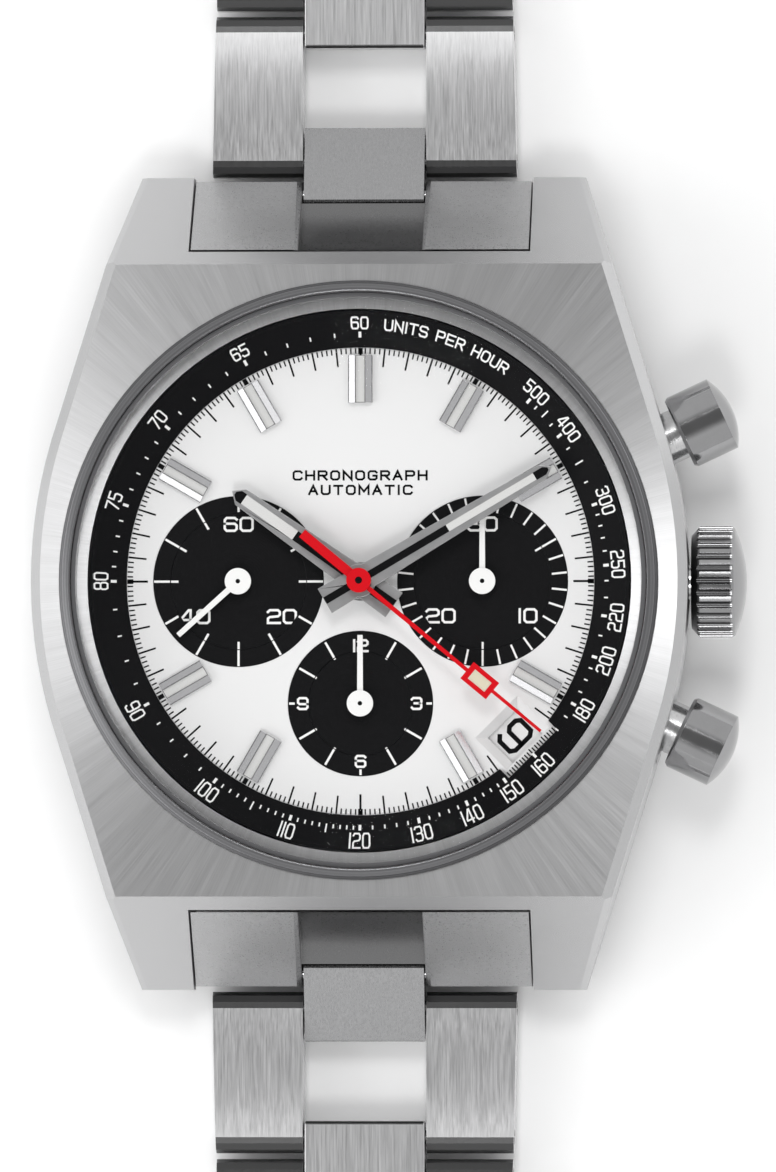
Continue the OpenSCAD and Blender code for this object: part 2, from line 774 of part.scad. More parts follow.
module reset_pusher_spring() {
  pusher_axis(1) pusher_spring();
}

// Bracelet, drawn on the 12 o'clock side and mirrored for the 6 o'clock side

module bracelet_side(side) {
  mirror([0, side == "upper" ? 0 : 1, 0]) children();
}

module end_link_outline() {
  polygon([[slot_y + 0.13, 1.6], [root_pin[0] - 0.6, 0.95], [root_pin[0] + 0.5, 0.95],
           [root_pin[0] + 0.8, 1.4], [root_pin[0] + 0.8, 3.3], [slot_y + 0.13, end_link_top]]);
}

// The middle of an end link is a channel with a hollow floor, between two V-shaped grooves
module end_links() {
  half = lug_gap / 2 - 0.11;
  groove = root_pin[0] + 0.8 - slot_y;
  color(STEEL) for (side = SIDES) bracelet_side(side) difference() {
    along_x(-half, half) end_link_outline();
    along_x(-side_in, side_in) translate(root_pin) circle(r = 1.62);
    translate([-side_in, root_pin[0] - 0.4, -1]) cube([2 * side_in, 5, 10]);
    along_x(-side_in, side_in) translate([25.63, 9.62]) circle(r = 7, $fn = 240);
    for (s = [-1, 1]) translate([s * side_in, slot_y, end_link_top])
      rotate([atan2(3.3 - end_link_top, groove), 0, 0]) rotate([0, 45, 0])
        cube([0.42, 20, 0.42], center = true);
    rod_x(pin_r + fit_gap, -12, 12, spring_bar_y, spring_bar_z);
    rod_x(pin_r + fit_gap, -half + 0.8, half - 0.8, root_pin[0], root_pin[1]);
  }
}

// Spring bars between the lugs, and the pins of the first hinges, which the end links hold
module spring_bars() {
  color(STEEL) for (side = SIDES) bracelet_side(side) {
    rod_x(pin_r, -lug_gap / 2 - 1.5, lug_gap / 2 + 1.5, spring_bar_y, spring_bar_z);
    rod_x(pin_r, -lug_gap / 2 + 0.95, lug_gap / 2 - 0.95, root_pin[0], root_pin[1]);
  }
}

// A side link's outline in Y and Z, from one pin at the origin to the other: the arched top stops
// short of both ends, where a lower knuckle goes round each pin
module side_link_outline() {
  top = link_t / 2;
  intersection() {
    polygon([[-link_end, -0.4], [-0.03, -top], [side_pitch + 0.03, -top], [side_pitch + link_end, -0.4],
             [side_pitch + link_end, 0.55], [side_pitch + 0.72, 0.92], [side_pitch + 0.35, top - 0.26],
             [side_pitch, top - 0.22], [side_pitch, top], [0, top], [0, top - 0.22], [-0.35, top - 0.26],
             [-0.72, 0.92], [-link_end, 0.55]]);
    translate([side_pitch / 2, top - link_arch_r]) circle(r = link_arch_r, $fn = 360);
  }
}

module centre_link() {
  top = link_t / 2 - 0.1;
  out = centre_pitch + centre_end;
  color(STEEL) difference() {
    along_x(-centre_w / 2, centre_w / 2)
      polygon([[-link_end, -0.4], [-0.03, -top], [centre_pitch + 0.03, -top], [out, -0.45],
               [out, top - 0.12], [out - 0.12, top], [0.15 - link_end, top], [-link_end, top - 0.15]]);
    for (y = [0, centre_pitch]) rod_x(pin_bore_r, -10, 10, y);
  }
}

// Two side links with the pins that join them, for rung i
module side_link_pair(i, pins) {
  near = bracelet_w / 2 - (i - 1) * rung_taper / 2;
  far = near - rung_taper / 2 + 0.03;
  color(STEEL) {
    for (m = [0, 1]) mirror([m, 0, 0]) difference() {
      intersection() {
        along_x(0, 12) side_link_outline();
        translate([0, 0, -5]) linear_extrude(10)
          polygon([[side_in, -2], [near, -link_end],
                   [far, side_pitch + link_end], [side_in, side_pitch + 2]]);
      }
      for (y = [0, side_pitch]) rod_x(len(pins) == 2 || y == 0 ? pin_r + fit_gap : pin_bore_r, 0, 12, y);
    }
    for (y = pins) rod_x(pin_r, 0.25 - far, far - 0.25, y);
  }
}

// Places a centre link at rest: the first one slopes down from the end link to the floor
module place_centre(side, i) {
  bracelet_side(side)
    if (i == 1) translate([0, root_pin[0], root_pin[1]]) rotate([-first_drop, 0, 0]) children();
    else translate([0, first_side_y + (i - 1) * rung_pitch - centre_pitch, floor_pin_z]) children();
}

module place_side(side, i) {
  bracelet_side(side) translate([0, first_side_y + (i - 1) * rung_pitch, floor_pin_z]) children();
}

// Clasp

// An arched layer between two distances from the near end pin
module clasp_layer(low, high, from, to, half_w) {
  intersection() {
    difference() {
      rod_x(high, -half_w, half_w, clasp_mid_y, clasp_centre_z, $fn = 720);
      rod_x(low, -half_w - 1, half_w + 1, clasp_mid_y, clasp_centre_z, $fn = 720);
    }
    translate([-half_w - 1, clasp_pin_y + from, 0]) cube([2 * half_w + 2, to - from, 12]);
  }
}

function clasp_point(r, from) =
  [clasp_pin_y + from, clasp_centre_z + sqrt(pow(r, 2) - pow(clasp_len / 2 - from, 2))];

cover_hinge = clasp_point(cover_hinge_r, clasp_len - cover_hinge_in);
blade_hinge = clasp_point(blade_hinge_r, blade_hinge_in);
clasp_far_y = clasp_pin_y + clasp_len;

module clasp_cover() {
  color(STEEL) {
    difference() {
      union() {
        clasp_layer(cover_low, cover_low + cover_t, cover_end, clasp_len - cover_end, cover_half_w);
        for (s = [-1, 1]) translate([s * (cover_half_w - skirt_t / 2), 0, 0])
          clasp_layer(inner_low, cover_low + 0.2, cover_end, clasp_len - cover_end, skirt_t / 2);
        translate([-clasp_tongue_half, clasp_pin_y - link_end, 0.4]) cube([2 * clasp_tongue_half, 2.9, 2.1]);
        translate([-clasp_tongue_half, clasp_pin_y + 1, 0.9]) cube([2 * clasp_tongue_half, 1.3, 2.7]);
      }
      rod_x(pin_bore_r, -10, 10, clasp_pin_y, floor_pin_z);
      translate([-clasp_tongue_half - 0.3, clasp_far_y - cover_hinge_in - 4.3, -1])
        cube([2 * clasp_tongue_half + 0.6, 10, 10]);
      rod_x(clasp_bore_r, -7.3, 7.3, cover_hinge[0], cover_hinge[1]);
    }
    for (m = [0, 1]) mirror([m, 0, 0]) rod_x(clasp_wire_r, 3.95, 7.25, cover_hinge[0], cover_hinge[1]);
  }
}

module clasp_middle_blade() {
  half_w = 6.1;
  color(STEEL) difference() {
    union() {
      clasp_layer(middle_low, middle_low + blade_layer,
                  blade_hinge_in + 0.2, clasp_len - cover_hinge_in, half_w);
      for (m = [0, 1]) mirror([m, 0, 0]) rod_x(clasp_barrel_r, 3.9, half_w, cover_hinge[0], cover_hinge[1]);
      for (m = [0, 1]) mirror([m, 0, 0])
        rod_x(clasp_barrel_r, 2.6, half_w - 0.3, blade_hinge[0], blade_hinge[1]);
    }
    translate([-3.8, cover_hinge[0] - 1.3, 0]) cube([7.6, 5, 10]);
    translate([-2.55, blade_hinge[0] - 3, 0]) cube([5.1, 4.3, 10]);
    rod_x(clasp_wire_r + run_gap, -10, 10, cover_hinge[0], cover_hinge[1]);
    rod_x(clasp_bore_r, -half_w + 0.6, half_w - 0.6, blade_hinge[0], blade_hinge[1]);
    for (i = [-1, 0, 1]) translate([-2.2, clasp_mid_y + 7 * i - 2, 0]) cube([4.4, 4, 12]);
  }
  color(STEEL) rod_x(clasp_wire_r, -5.4, 5.4, blade_hinge[0], blade_hinge[1]);
}

module clasp_inner_blade() {
  color(STEEL) difference() {
    union() {
      clasp_layer(inner_low, clasp_r, blade_hinge_in + 1.6, clasp_len - 5.4, 5.3);
      clasp_layer(inner_low, clasp_r, blade_hinge_in, clasp_len - 1, 2.4);
      clasp_layer(inner_low, clasp_r, clasp_len - 6, clasp_len - 0.8, clasp_tongue_half);
      rod_x(clasp_barrel_r, -2.4, 2.4, blade_hinge[0], blade_hinge[1]);
      translate([-clasp_tongue_half, clasp_far_y - 1.4, 0.45])
        cube([2 * clasp_tongue_half, 1.4 + link_end, 1.95]);
    }
    rod_x(clasp_wire_r + run_gap, -10, 10, blade_hinge[0], blade_hinge[1]);
    rod_x(pin_r + fit_gap, -10, 10, clasp_far_y, floor_pin_z);
  }
  color(STEEL) rod_x(pin_r, -clasp_tongue_half + 0.1, clasp_tongue_half - 0.1, clasp_far_y, floor_pin_z);
}

mid_case();
bezel_ring();
crystal();
crystal_gasket();
tachymeter_flange();
dial();
hour_markers();
case_back();
case_back_crystal();
case_tubes();
movement_ring();
main_plate();
train_bridge();
balance_cock();
movement_screws();
end_links();
spring_bars();
rotor_bearing();
hour_hand();
minute_hand();
chronograph_hand();
running_seconds_hand();
minute_counter_hand();
hour_counter_hand();
date_disc();
rotor();
balance_wheel();
escape_wheel();
pallet_fork();
mainspring_barrel();
column_wheel();
crown();
winding_stem();
start_pusher();
reset_pusher();
start_pusher_spring();
reset_pusher_spring();
clasp_cover();
clasp_middle_blade();
clasp_inner_blade();
for (side = SIDES, i = [1:rungs]) {
  place_centre(side, i) centre_link();
  place_side(side, i) side_link_pair(i, side == "lower" && i == rungs ? [0] : [0, side_pitch]);
}
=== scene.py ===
import math

import bpy
from mathutils import Matrix, Vector


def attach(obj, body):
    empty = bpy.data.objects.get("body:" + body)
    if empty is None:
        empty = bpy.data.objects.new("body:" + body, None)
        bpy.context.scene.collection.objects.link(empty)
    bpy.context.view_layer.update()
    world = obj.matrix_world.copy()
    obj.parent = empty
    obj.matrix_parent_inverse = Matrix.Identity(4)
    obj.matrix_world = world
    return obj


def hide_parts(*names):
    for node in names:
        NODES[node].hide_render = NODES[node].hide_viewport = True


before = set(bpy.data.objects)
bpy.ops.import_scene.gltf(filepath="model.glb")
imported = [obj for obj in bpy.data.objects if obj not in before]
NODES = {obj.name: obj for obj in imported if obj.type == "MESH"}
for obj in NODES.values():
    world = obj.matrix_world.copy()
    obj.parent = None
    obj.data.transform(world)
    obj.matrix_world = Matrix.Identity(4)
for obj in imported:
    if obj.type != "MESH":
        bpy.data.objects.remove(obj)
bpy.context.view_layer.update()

# Sizes are in millimetres, and angles in degrees clockwise from 12 o'clock, unless a line says otherwise
MM = 0.001
# Small dials at 9, 3 and 6 o'clock: x and y of the centre, outer radius, radius of the step
SUBS = ((-6.97, 0.0, 4.9, 3.92), (6.97, 0.0, 4.9, 3.92), (0.0, -6.97, 4.17, 3.02))
DIAL_Z = 7.6           # top of the dial
SUB_Z = 7.5            # rim of a small dial
SUB_FLOOR_Z = 7.42     # middle of a small dial
INK = 0.012            # height of a printed line above its surface
DIAL_PRINT_Z = DIAL_Z + 0.002
SUB_PRINT_Z = SUB_Z + 0.008
SUB_FLOOR_PRINT_Z = SUB_FLOOR_Z + 0.008
FLANGE_LIFT = 0.003    # lines of the outer scale above the flange
KNOB_Z = 5.2           # axis of the winding knob
DATE_DEG = 135.0
# Where the hands point at rest
HAND_DEG = {"hour_hand": 305.2, "minute_hand": 59.4, "chronograph_hand": 129.7,
            "running_seconds_hand": 228.0, "minute_counter_hand": 0.0, "hour_counter_hand": 0.0}


# ---------------------------------------------------------------- materials

class Shader:
    """A material with one Principled shader, and short calls for the nodes that feed it."""

    def __init__(self, name, color, metallic, roughness, **inputs):
        self.mat = bpy.data.materials.new(name)
        self.mat.use_nodes = True
        self.tree = self.mat.node_tree
        self.bsdf = next(n for n in self.tree.nodes if n.type == "BSDF_PRINCIPLED")
        self.set("Base Color", (*color, 1.0))
        self.set("Metallic", metallic)
        self.set("Roughness", roughness)
        for key, value in inputs.items():
            self.set(key.replace("_", " "), value)
        self.mat.diffuse_color = (*color, 1.0)
        self.color = color
        self.roughness = roughness

    def set(self, socket, value):
        self.bsdf.inputs[socket].default_value = value

    def node(self, kind, props=None, **links):
        """Adds a node; i0, i1 and so on are its inputs by number, and other words are inputs by name."""
        n = self.tree.nodes.new(kind)
        for key, value in (props or {}).items():
            setattr(n, key, value)
        for key, value in links.items():
            numbered = key[0] == "i" and key[1:].isdigit()
            sock = n.inputs[int(key[1:]) if numbered else key.replace("_", " ")]
            if isinstance(value, bpy.types.NodeSocket):
                self.tree.links.new(value, sock)
            else:
                sock.default_value = value
        return n

    def math(self, op, a, b=0.0, c=0.0):
        return self.node("ShaderNodeMath", {"operation": op}, i0=a, i1=b, i2=c).outputs[0]

    def hypot(self, a, b):
        return self.math("SQRT", self.math("ADD", self.math("MULTIPLY", a, a), self.math("MULTIPLY", b, b)))

    def weigh(self, a, b, share):
        """a times share, plus b times what is left of 1."""
        rest = self.math("SUBTRACT", 1.0, share) if isinstance(share, bpy.types.NodeSocket) else 1.0 - share
        return self.math("ADD", self.math("MULTIPLY", a, share), self.math("MULTIPLY", b, rest))

    def coords(self):
        """Object coordinates in millimetres."""
        place = self.node("ShaderNodeTexCoord").outputs["Object"]
        return self.node("ShaderNodeVectorMath", {"operation": "SCALE"}, i0=place, Scale=1 / MM).outputs[0]

    def normal(self):
        """The normal in the object's own axes."""
        return self.node("ShaderNodeTexCoord").outputs["Normal"]

    def xyz(self, vector):
        n = self.node("ShaderNodeSeparateXYZ", i0=vector)
        return n.outputs[0], n.outputs[1], n.outputs[2]

    def vec(self, x, y, z):
        return self.node("ShaderNodeCombineXYZ", i0=x, i1=y, i2=z).outputs[0]

    def noise(self, vector, scale=1.0, detail=2.0, rough=0.5):
        n = self.node("ShaderNodeTexNoise", Vector=vector, Scale=scale, Detail=detail, Roughness=rough)
        return n.outputs[0]

    def remap(self, value, lo, hi, to_lo, to_hi):
        n = self.node("ShaderNodeMapRange", i0=value)
        for i, v in enumerate((lo, hi, to_lo, to_hi)):
            n.inputs[i + 1].default_value = v
        return n.outputs[0]

    def mix(self, fac, a, b):
        n = self.node("ShaderNodeMix", {"data_type": "RGBA"})
        for sock, value in ((n.inputs[0], fac), (n.inputs[6], a), (n.inputs[7], b)):
            if isinstance(value, bpy.types.NodeSocket):
                self.tree.links.new(value, sock)
            else:
                sock.default_value = value if not isinstance(value, tuple) else (*value, 1.0)[:4]
        return n.outputs[2]

    def mix_vec(self, fac, a, b):
        n = self.node("ShaderNodeMix", {"data_type": "VECTOR"})
        for sock, value in ((n.inputs[0], fac), (n.inputs[4], a), (n.inputs[5], b)):
            self.tree.links.new(value, sock)
        return n.outputs[1]

    def shade(self, value, spread):
        """Feeds the base colour, lighter and darker by spread as value goes from 0 to 1."""
        low = tuple(c * (1 - spread) for c in self.color)
        high = tuple(min(1.0, c * (1 + spread)) for c in self.color)
        self.tree.links.new(self.mix(value, low, high), self.bsdf.inputs["Base Color"])

    def darken(self, mask, part):
        """Leaves only that part of the base colour where the mask is 1."""
        source = self.bsdf.inputs["Base Color"].links[0].from_socket
        tone = tuple(c * part for c in self.color)
        self.tree.links.new(self.mix(mask, source, tone), self.bsdf.inputs["Base Color"])

    def rough(self, value, spread):
        """Feeds the roughness, lower and higher by spread as value goes from 0 to 1."""
        self.tree.links.new(self.remap(value, 0.0, 1.0, self.roughness - spread, self.roughness + spread),
                            self.bsdf.inputs["Roughness"])

    def bump(self, height, strength, depth):
        n = self.node("ShaderNodeBump", Strength=strength, Distance=depth * MM, Height=height)
        self.tree.links.new(n.outputs[0], self.bsdf.inputs["Normal"])

    def tangent(self, vector):
        """Sets the direction of an anisotropic highlight, given in the object's own axes."""
        turned = self.node("ShaderNodeVectorTransform", {"vector_type": "VECTOR", "convert_from": "OBJECT",
                                                         "convert_to": "WORLD"}, Vector=vector)
        self.tree.links.new(turned.outputs[0], self.bsdf.inputs["Tangent"])

    def across(self):
        """The direction in the surface at right angles to brush lines that run along Y."""
        return self.node("ShaderNodeVectorMath", {"operation": "CROSS_PRODUCT"}, i0=self.normal(),
                         i1=(0.0, 1.0, 0.0)).outputs[0]


def streaks(s, p, along, per_mm):
    """Brush lines along Y: fine noise drawn out along Y, and a broader version of it."""
    scaled = [s.math("MULTIPLY", v, k) for v, k in zip(s.xyz(p), (per_mm, along, per_mm))]
    fine = s.noise(s.vec(*scaled), 1.0, 3.0, 0.6)
    broad = s.noise(s.vec(*[s.math("MULTIPLY", v, 0.12) for v in scaled]), 1.0, 2.0, 0.5)
    return fine, broad


def scratches(s, p):
    """Hairline marks in a few directions, where polished steel has been handled."""
    n = s.node("ShaderNodeTexVoronoi", {"feature": "DISTANCE_TO_EDGE"}, Vector=p, Scale=0.35)
    warp = s.noise(p, 1.4, 2.0)
    return s.remap(s.math("ADD", n.outputs[0], s.math("MULTIPLY", warp, 0.002)), 0.0, 0.006, 1.0, 0.0)


def brushed_steel(name, color, roughness, per_mm, spread, shadow=None):
    """Steel brushed along Y; shadow gives a mask and the part of the colour that is left in it."""
    s = Shader(name, color, 1.0, roughness, Anisotropic=0.6)
    p = s.coords()
    fine, broad = streaks(s, p, 0.34, per_mm)
    value = s.remap(s.weigh(fine, broad, 0.9), 0.3, 0.7, 0.0, 1.0)
    s.shade(value, spread)
    if shadow:
        s.darken(*shadow(s, p))
    s.rough(value, 0.06)
    s.bump(fine, 0.35, 0.004)
    s.tangent(s.across())
    return s


def knuckle(s, _):
    """Painted shade on the shelf and the slope at each end of a link; not on its sides or back."""
    nx, _, nz = s.xyz(s.normal())
    tilted = s.math("MULTIPLY", s.remap(nz, 0.9965, 0.9945, 0.0, 1.0), s.remap(nz, 0.3, 0.6, 0.0, 1.0))
    return s.math("MULTIPLY", tilted, s.remap(s.math("ABSOLUTE", nx), 0.2, 0.1, 0.0, 1.0)), 0.14


def channel(s, p):
    """Painted shade in the hollow middle of an end link."""
    x = s.math("ABSOLUTE", s.xyz(p)[0])
    return s.remap(x, 3.62, 3.5, 0.0, 1.0), 0.42


def flutes(s, p):
    """Painted shade in the bottoms of the grooves round the winding knob."""
    x, y, z = s.xyz(p)
    radius = s.hypot(y, s.math("SUBTRACT", z, KNOB_Z))
    near = s.remap(x, 21.15, 21.05, 0.0, 1.0)
    return s.math("MULTIPLY", near, s.remap(radius, 3.17, 3.04, 0.0, 1.0)), 0.12


def polished_steel(name, color=(0.50, 0.50, 0.51), roughness=0.13, shadow=None):
    s = Shader(name, color, 1.0, roughness)
    p = s.coords()
    haze = s.noise(p, 1.6, 4.0)
    s.shade(haze, 0.05)
    if shadow:
        s.darken(*shadow(s, p))
    s.rough(haze, 0.04)
    s.bump(s.math("ADD", s.math("MULTIPLY", haze, 0.2), scratches(s, p)), 0.12, 0.003)
    return s


def case_steel(name):
    """Sunray brushing on the top, lengthwise brushing on the flanks, and polished bevels and lug facets with
    a little painted shade.
    """
    s = Shader(name, (0.54, 0.54, 0.545), 1.0, 0.3, Anisotropic=0.85)
    p = s.coords()
    x, y, _ = s.xyz(p)
    angle = s.math("ARCTAN2", y, x)
    radius = s.hypot(x, y)
    ray = s.vec(s.math("MULTIPLY", angle, 300.0), s.math("MULTIPLY", radius, 0.22), 0.0)
    ray = s.noise(ray, 1.0, 3.0, 0.6)
    wide_ray = s.noise(s.vec(s.math("MULTIPLY", angle, 60.0), s.math("MULTIPLY", radius, 0.08), 0.0))
    fine, broad = streaks(s, p, 0.22, 11.0)
    nz = s.xyz(s.normal())[2]
    top = s.remap(nz, 0.985, 0.998, 0.0, 1.0)
    polished = s.math("MULTIPLY", s.remap(nz, 0.12, 0.2, 0.0, 1.0), s.math("SUBTRACT", 1.0, top))
    brushed = s.math("SUBTRACT", 1.0, polished)
    value = s.weigh(s.weigh(ray, wide_ray, 0.65), s.weigh(fine, broad, 0.65), top)
    value = s.remap(value, 0.3, 0.7, 0.0, 1.0)
    s.shade(s.math("ADD", s.math("MULTIPLY", value, brushed), s.math("MULTIPLY", polished, 0.75)), 0.11)
    # Painted shade: the polished bevels and lug facets are made a little darker
    s.darken(polished, 0.95)
    grain = s.math("MULTIPLY", s.math("MULTIPLY", s.math("SUBTRACT", value, 0.5), 0.07), brushed)
    level = s.math("SUBTRACT", 0.38, s.math("MULTIPLY", polished, 0.15))
    s.tree.links.new(s.math("ADD", grain, level), s.bsdf.inputs["Roughness"])
    depth = s.math("SUBTRACT", 1.0, s.math("MULTIPLY", polished, 0.8))
    s.bump(s.math("MULTIPLY", s.weigh(ray, fine, top), depth), 0.35, 0.004)
    round_centre = s.vec(s.math("MULTIPLY", y, -1.0), x, 0.0)
    s.tangent(s.mix_vec(top, s.across(), round_centre))
    return s


def turned_steel(name, color=(0.62, 0.62, 0.625), roughness=0.2, per_mm=9.0, spread=0.12):
    """Steel finished on a lathe about the Z axis: fine circles."""
    s = Shader(name, color, 1.0, roughness, Anisotropic=0.4)
    p = s.coords()
    x, y, z = s.xyz(p)
    rings = s.vec(s.math("MULTIPLY", s.hypot(x, y), per_mm), s.math("MULTIPLY", z, per_mm), 0.0)
    rings = s.noise(rings, 1.0, 3.0)
    s.shade(s.remap(rings, 0.3, 0.7, 0.0, 1.0), spread)
    s.rough(rings, 0.06)
    s.bump(rings, 0.25, 0.003)
    return s


def lacquer(name, color, roughness, coat=0.0, grain=9.0, spread=0.02, depth=0.002, level=0.5):
    """Paint, ink or rubber with a fine grain."""
    s = Shader(name, color, 0.0, roughness, Coat_Weight=coat, Coat_Roughness=0.12, Specular_IOR_Level=level)
    p = s.coords()
    n = s.noise(p, grain, 3.0)
    s.shade(n, spread)
    s.rough(n, 0.04)
    s.bump(n, 0.2, depth)
    return s


def recess_black(name):
    """Black small dials with turned circles round each centre."""
    s = Shader(name, (0.004, 0.004, 0.0045), 0.0, 0.36, Specular_IOR_Level=0.1)
    p = s.coords()
    near = None
    for cx, cy, _, _ in SUBS:
        flat = s.vec(*s.xyz(p)[:2], 0.0)
        d = s.node("ShaderNodeVectorMath", {"operation": "DISTANCE"}, i0=flat, i1=(cx, cy, 0.0))
        d = d.outputs["Value"]
        near = d if near is None else s.math("MINIMUM", near, d)
    groove = s.math("SINE", s.math("MULTIPLY", near, 42.0))
    inside = s.remap(near, 3.8, 3.86, 1.0, 0.25)
    n = s.noise(p, 6.0, 3.0)
    s.shade(n, 0.25)
    s.rough(n, 0.06)
    s.bump(s.math("MULTIPLY", groove, inside), 0.25, 0.003)
    return s


def glass(name, tint, alpha):
    """Coated sapphire: almost clear face on, and mirror-like towards its edge."""
    s = Shader(name, tint, 0.0, 0.03, IOR=1.5)
    p = s.coords()
    s.rough(s.noise(p, 0.35, 2.0), 0.015)
    facing = s.node("ShaderNodeLayerWeight", Blend=0.25).outputs["Facing"]
    s.tree.links.new(s.remap(s.math("POWER", facing, 2.5), 0.0, 1.0, alpha, 0.45), s.bsdf.inputs["Alpha"])
    return s


def striped_rhodium(name, pitch, turned=False):
    """Broad polished stripes with fine lines in each: straight along Y, or round the Z axis if turned."""
    s = Shader(name, (0.66, 0.645, 0.62), 1.0, 0.24, Anisotropic=0.3)
    p = s.coords()
    x, y, _ = s.xyz(p)
    if turned:
        x = s.hypot(x, y)
    band = s.math("FRACT", s.math("DIVIDE", s.math("ADD", x, 40.0), pitch))
    arch = s.math("SINE", s.math("MULTIPLY", band, math.pi))
    fine = s.noise(s.vec(s.math("MULTIPLY", band, 14.0), s.math("MULTIPLY", y, 1.1), 0.0), 1.0, 3.0)
    value = s.weigh(arch, fine, 0.7)
    s.shade(value, 0.16)
    s.rough(value, 0.06)
    s.bump(value, 0.5, 0.012)
    return s


def perlage(name):
    """Movement plate covered in small overlapping polished circles."""
    s = Shader(name, (0.62, 0.61, 0.59), 1.0, 0.25)
    cells = s.node("ShaderNodeTexVoronoi", {"feature": "F1"}, Vector=s.coords(), Scale=1.2, Randomness=0.15)
    v = cells.outputs["Distance"]
    rings = s.math("SINE", s.math("MULTIPLY", v, 46.0))
    s.shade(s.remap(v, 0.0, 0.7, 1.0, 0.0), 0.14)
    s.rough(rings, 0.04)
    s.bump(rings, 0.3, 0.004)
    return s


def gem(name):
    s = Shader(name, (0.55, 0.012, 0.06), 0.0, 0.06, IOR=1.76, Coat_Weight=0.5, Coat_Roughness=0.03)
    s.shade(s.noise(s.coords(), 2.5, 2.0), 0.25)
    return s


def floor_paint(name):
    s = Shader(name, (0.93, 0.93, 0.93), 0.0, 0.85)
    n = s.noise(s.coords(), 0.6, 4.0)
    s.shade(n, 0.008)
    s.bump(n, 0.04, 0.02)
    return s


M = {
    "case": case_steel("case_steel"),
    # Bracelet links, with painted shade on the slopes at each end of a link
    "link": brushed_steel("link_brushed_steel", (0.66, 0.66, 0.665), 0.36, 15.0, 0.11, knuckle),
    # End links: a darker copy of the bracelet steel as painted shade, with more painted shade in their hollow
    # middle
    "end": brushed_steel("end_link_shaded_brushed_steel", (0.46, 0.46, 0.465), 0.3, 12.0, 0.08, channel),
    # Centre links next to the case: a darker copy of the bracelet steel as painted shade
    "tongue": brushed_steel("tongue_shaded_brushed_steel", (0.35, 0.35, 0.355), 0.28, 16.0, 0.06),
    "clasp": brushed_steel("clasp_brushed_steel", (0.62, 0.62, 0.625), 0.3, 10.0, 0.12),
    "polish": polished_steel("polished_steel"),
    # Winding knob: a darker copy of the polished steel as painted shade, with painted shade in its grooves
    "knob": polished_steel("knob_shaded_polished_steel", (0.32, 0.32, 0.325), 0.16, shadow=flutes),
    # Pushers: a darker copy of the polished steel as painted shade
    "button": polished_steel("button_shaded_polished_steel", (0.34, 0.34, 0.345), 0.09),
    "hand": polished_steel("hand_steel", (0.40, 0.40, 0.405), 0.34),
    "rail": polished_steel("rail_steel", (0.50, 0.50, 0.51), 0.2),
    "turned": turned_steel("turned_steel"),
    # Bezel ring: a much darker copy of the turned steel as painted shade
    "bezel": turned_steel("bezel_shaded_steel", (0.15, 0.15, 0.155), 0.22, per_mm=8.0, spread=0.4),
    "white": lacquer("dial_white_lacquer", (0.78, 0.78, 0.78), 0.45),
    "lume": lacquer("pale_lume", (0.62, 0.62, 0.61), 0.6, 0.0, 20.0, 0.03, 0.004, 0.2),
    "cream": lacquer("cream_lume", (0.64, 0.59, 0.45), 0.6, 0.0, 20.0, 0.06, 0.004, 0.2),
    "white_ink": lacquer("white_ink", (0.86, 0.86, 0.85), 0.5, 0.0, 24.0, 0.03, 0.002),
    "black_ink": lacquer("black_ink", (0.003, 0.003, 0.0035), 0.45, 0.0, 24.0, 0.2, 0.002, 0.06),
    "flange": lacquer("flange_black", (0.004, 0.004, 0.0045), 0.42, 0.0, 12.0, 0.2, 0.002, 0.06),
    "recess": recess_black("small_dial_black"),
    "red": lacquer("red_lacquer", (0.60, 0.002, 0.008), 0.35, 0.0, 16.0, 0.06, 0.002, 0.12),
    "paint_white": lacquer("hand_white_lacquer", (0.84, 0.84, 0.83), 0.4, 0.2, 16.0, 0.03),
    "gasket": lacquer("gasket_grey", (0.10, 0.10, 0.105), 0.35, 0.2, 8.0, 0.1),
    "crystal": glass("crystal_sapphire", (0.10, 0.11, 0.12), 0.006),
    "window": glass("window_sapphire", (0.30, 0.33, 0.35), 0.02),
    "stripes": striped_rhodium("striped_rhodium", 1.15),
    "rotor": striped_rhodium("rotor_striped", 1.5, True),
    "perlage": perlage("perlage_rhodium"),
    "gilt": turned_steel("gilt_brass", (0.72, 0.50, 0.20), 0.22, per_mm=7.0),
    "blued": polished_steel("blued_steel", (0.02, 0.05, 0.28), 0.12),
    "ruby": gem("ruby"),
    "floor": floor_paint("pale_floor"),
}

# ---------------------------------------------------------------- CAD nodes

LINKS = [n for n in NODES if "_centre_link_" in n or "_side_links_" in n]
TONGUES = [n for n in LINKS if n.endswith("centre_link_1")]
LOOKS = {
    "case": ["mid_case"],
    "bezel": ["bezel_ring"],
    "turned": ["case_back", "case_tubes", "movement_ring", "rotor_bearing", "escape_wheel", "column_wheel"],
    "knob": ["crown"],
    "button": ["start_pusher", "reset_pusher"],
    "polish": ["spring_bars", "winding_stem", "start_pusher_spring", "reset_pusher_spring", "pallet_fork",
               "balance_cock"],
    "hand": ["hour_hand", "minute_hand", "hour_markers"],
    "white": ["dial", "date_disc"],
    "paint_white": ["running_seconds_hand", "minute_counter_hand", "hour_counter_hand"],
    "red": ["chronograph_hand"],
    "flange": ["tachymeter_flange"],
    "gasket": ["crystal_gasket"],
    "crystal": ["crystal"],
    "window": ["case_back_crystal"],
    "stripes": ["train_bridge"],
    "rotor": ["rotor"],
    "perlage": ["main_plate"],
    "gilt": ["balance_wheel", "mainspring_barrel"],
    "blued": ["movement_screws"],
    "end": ["end_links"],
    "tongue": TONGUES,
    "link": [n for n in LINKS if n not in TONGUES],
    "clasp": ["clasp_cover", "clasp_middle_blade", "clasp_inner_blade"],
}
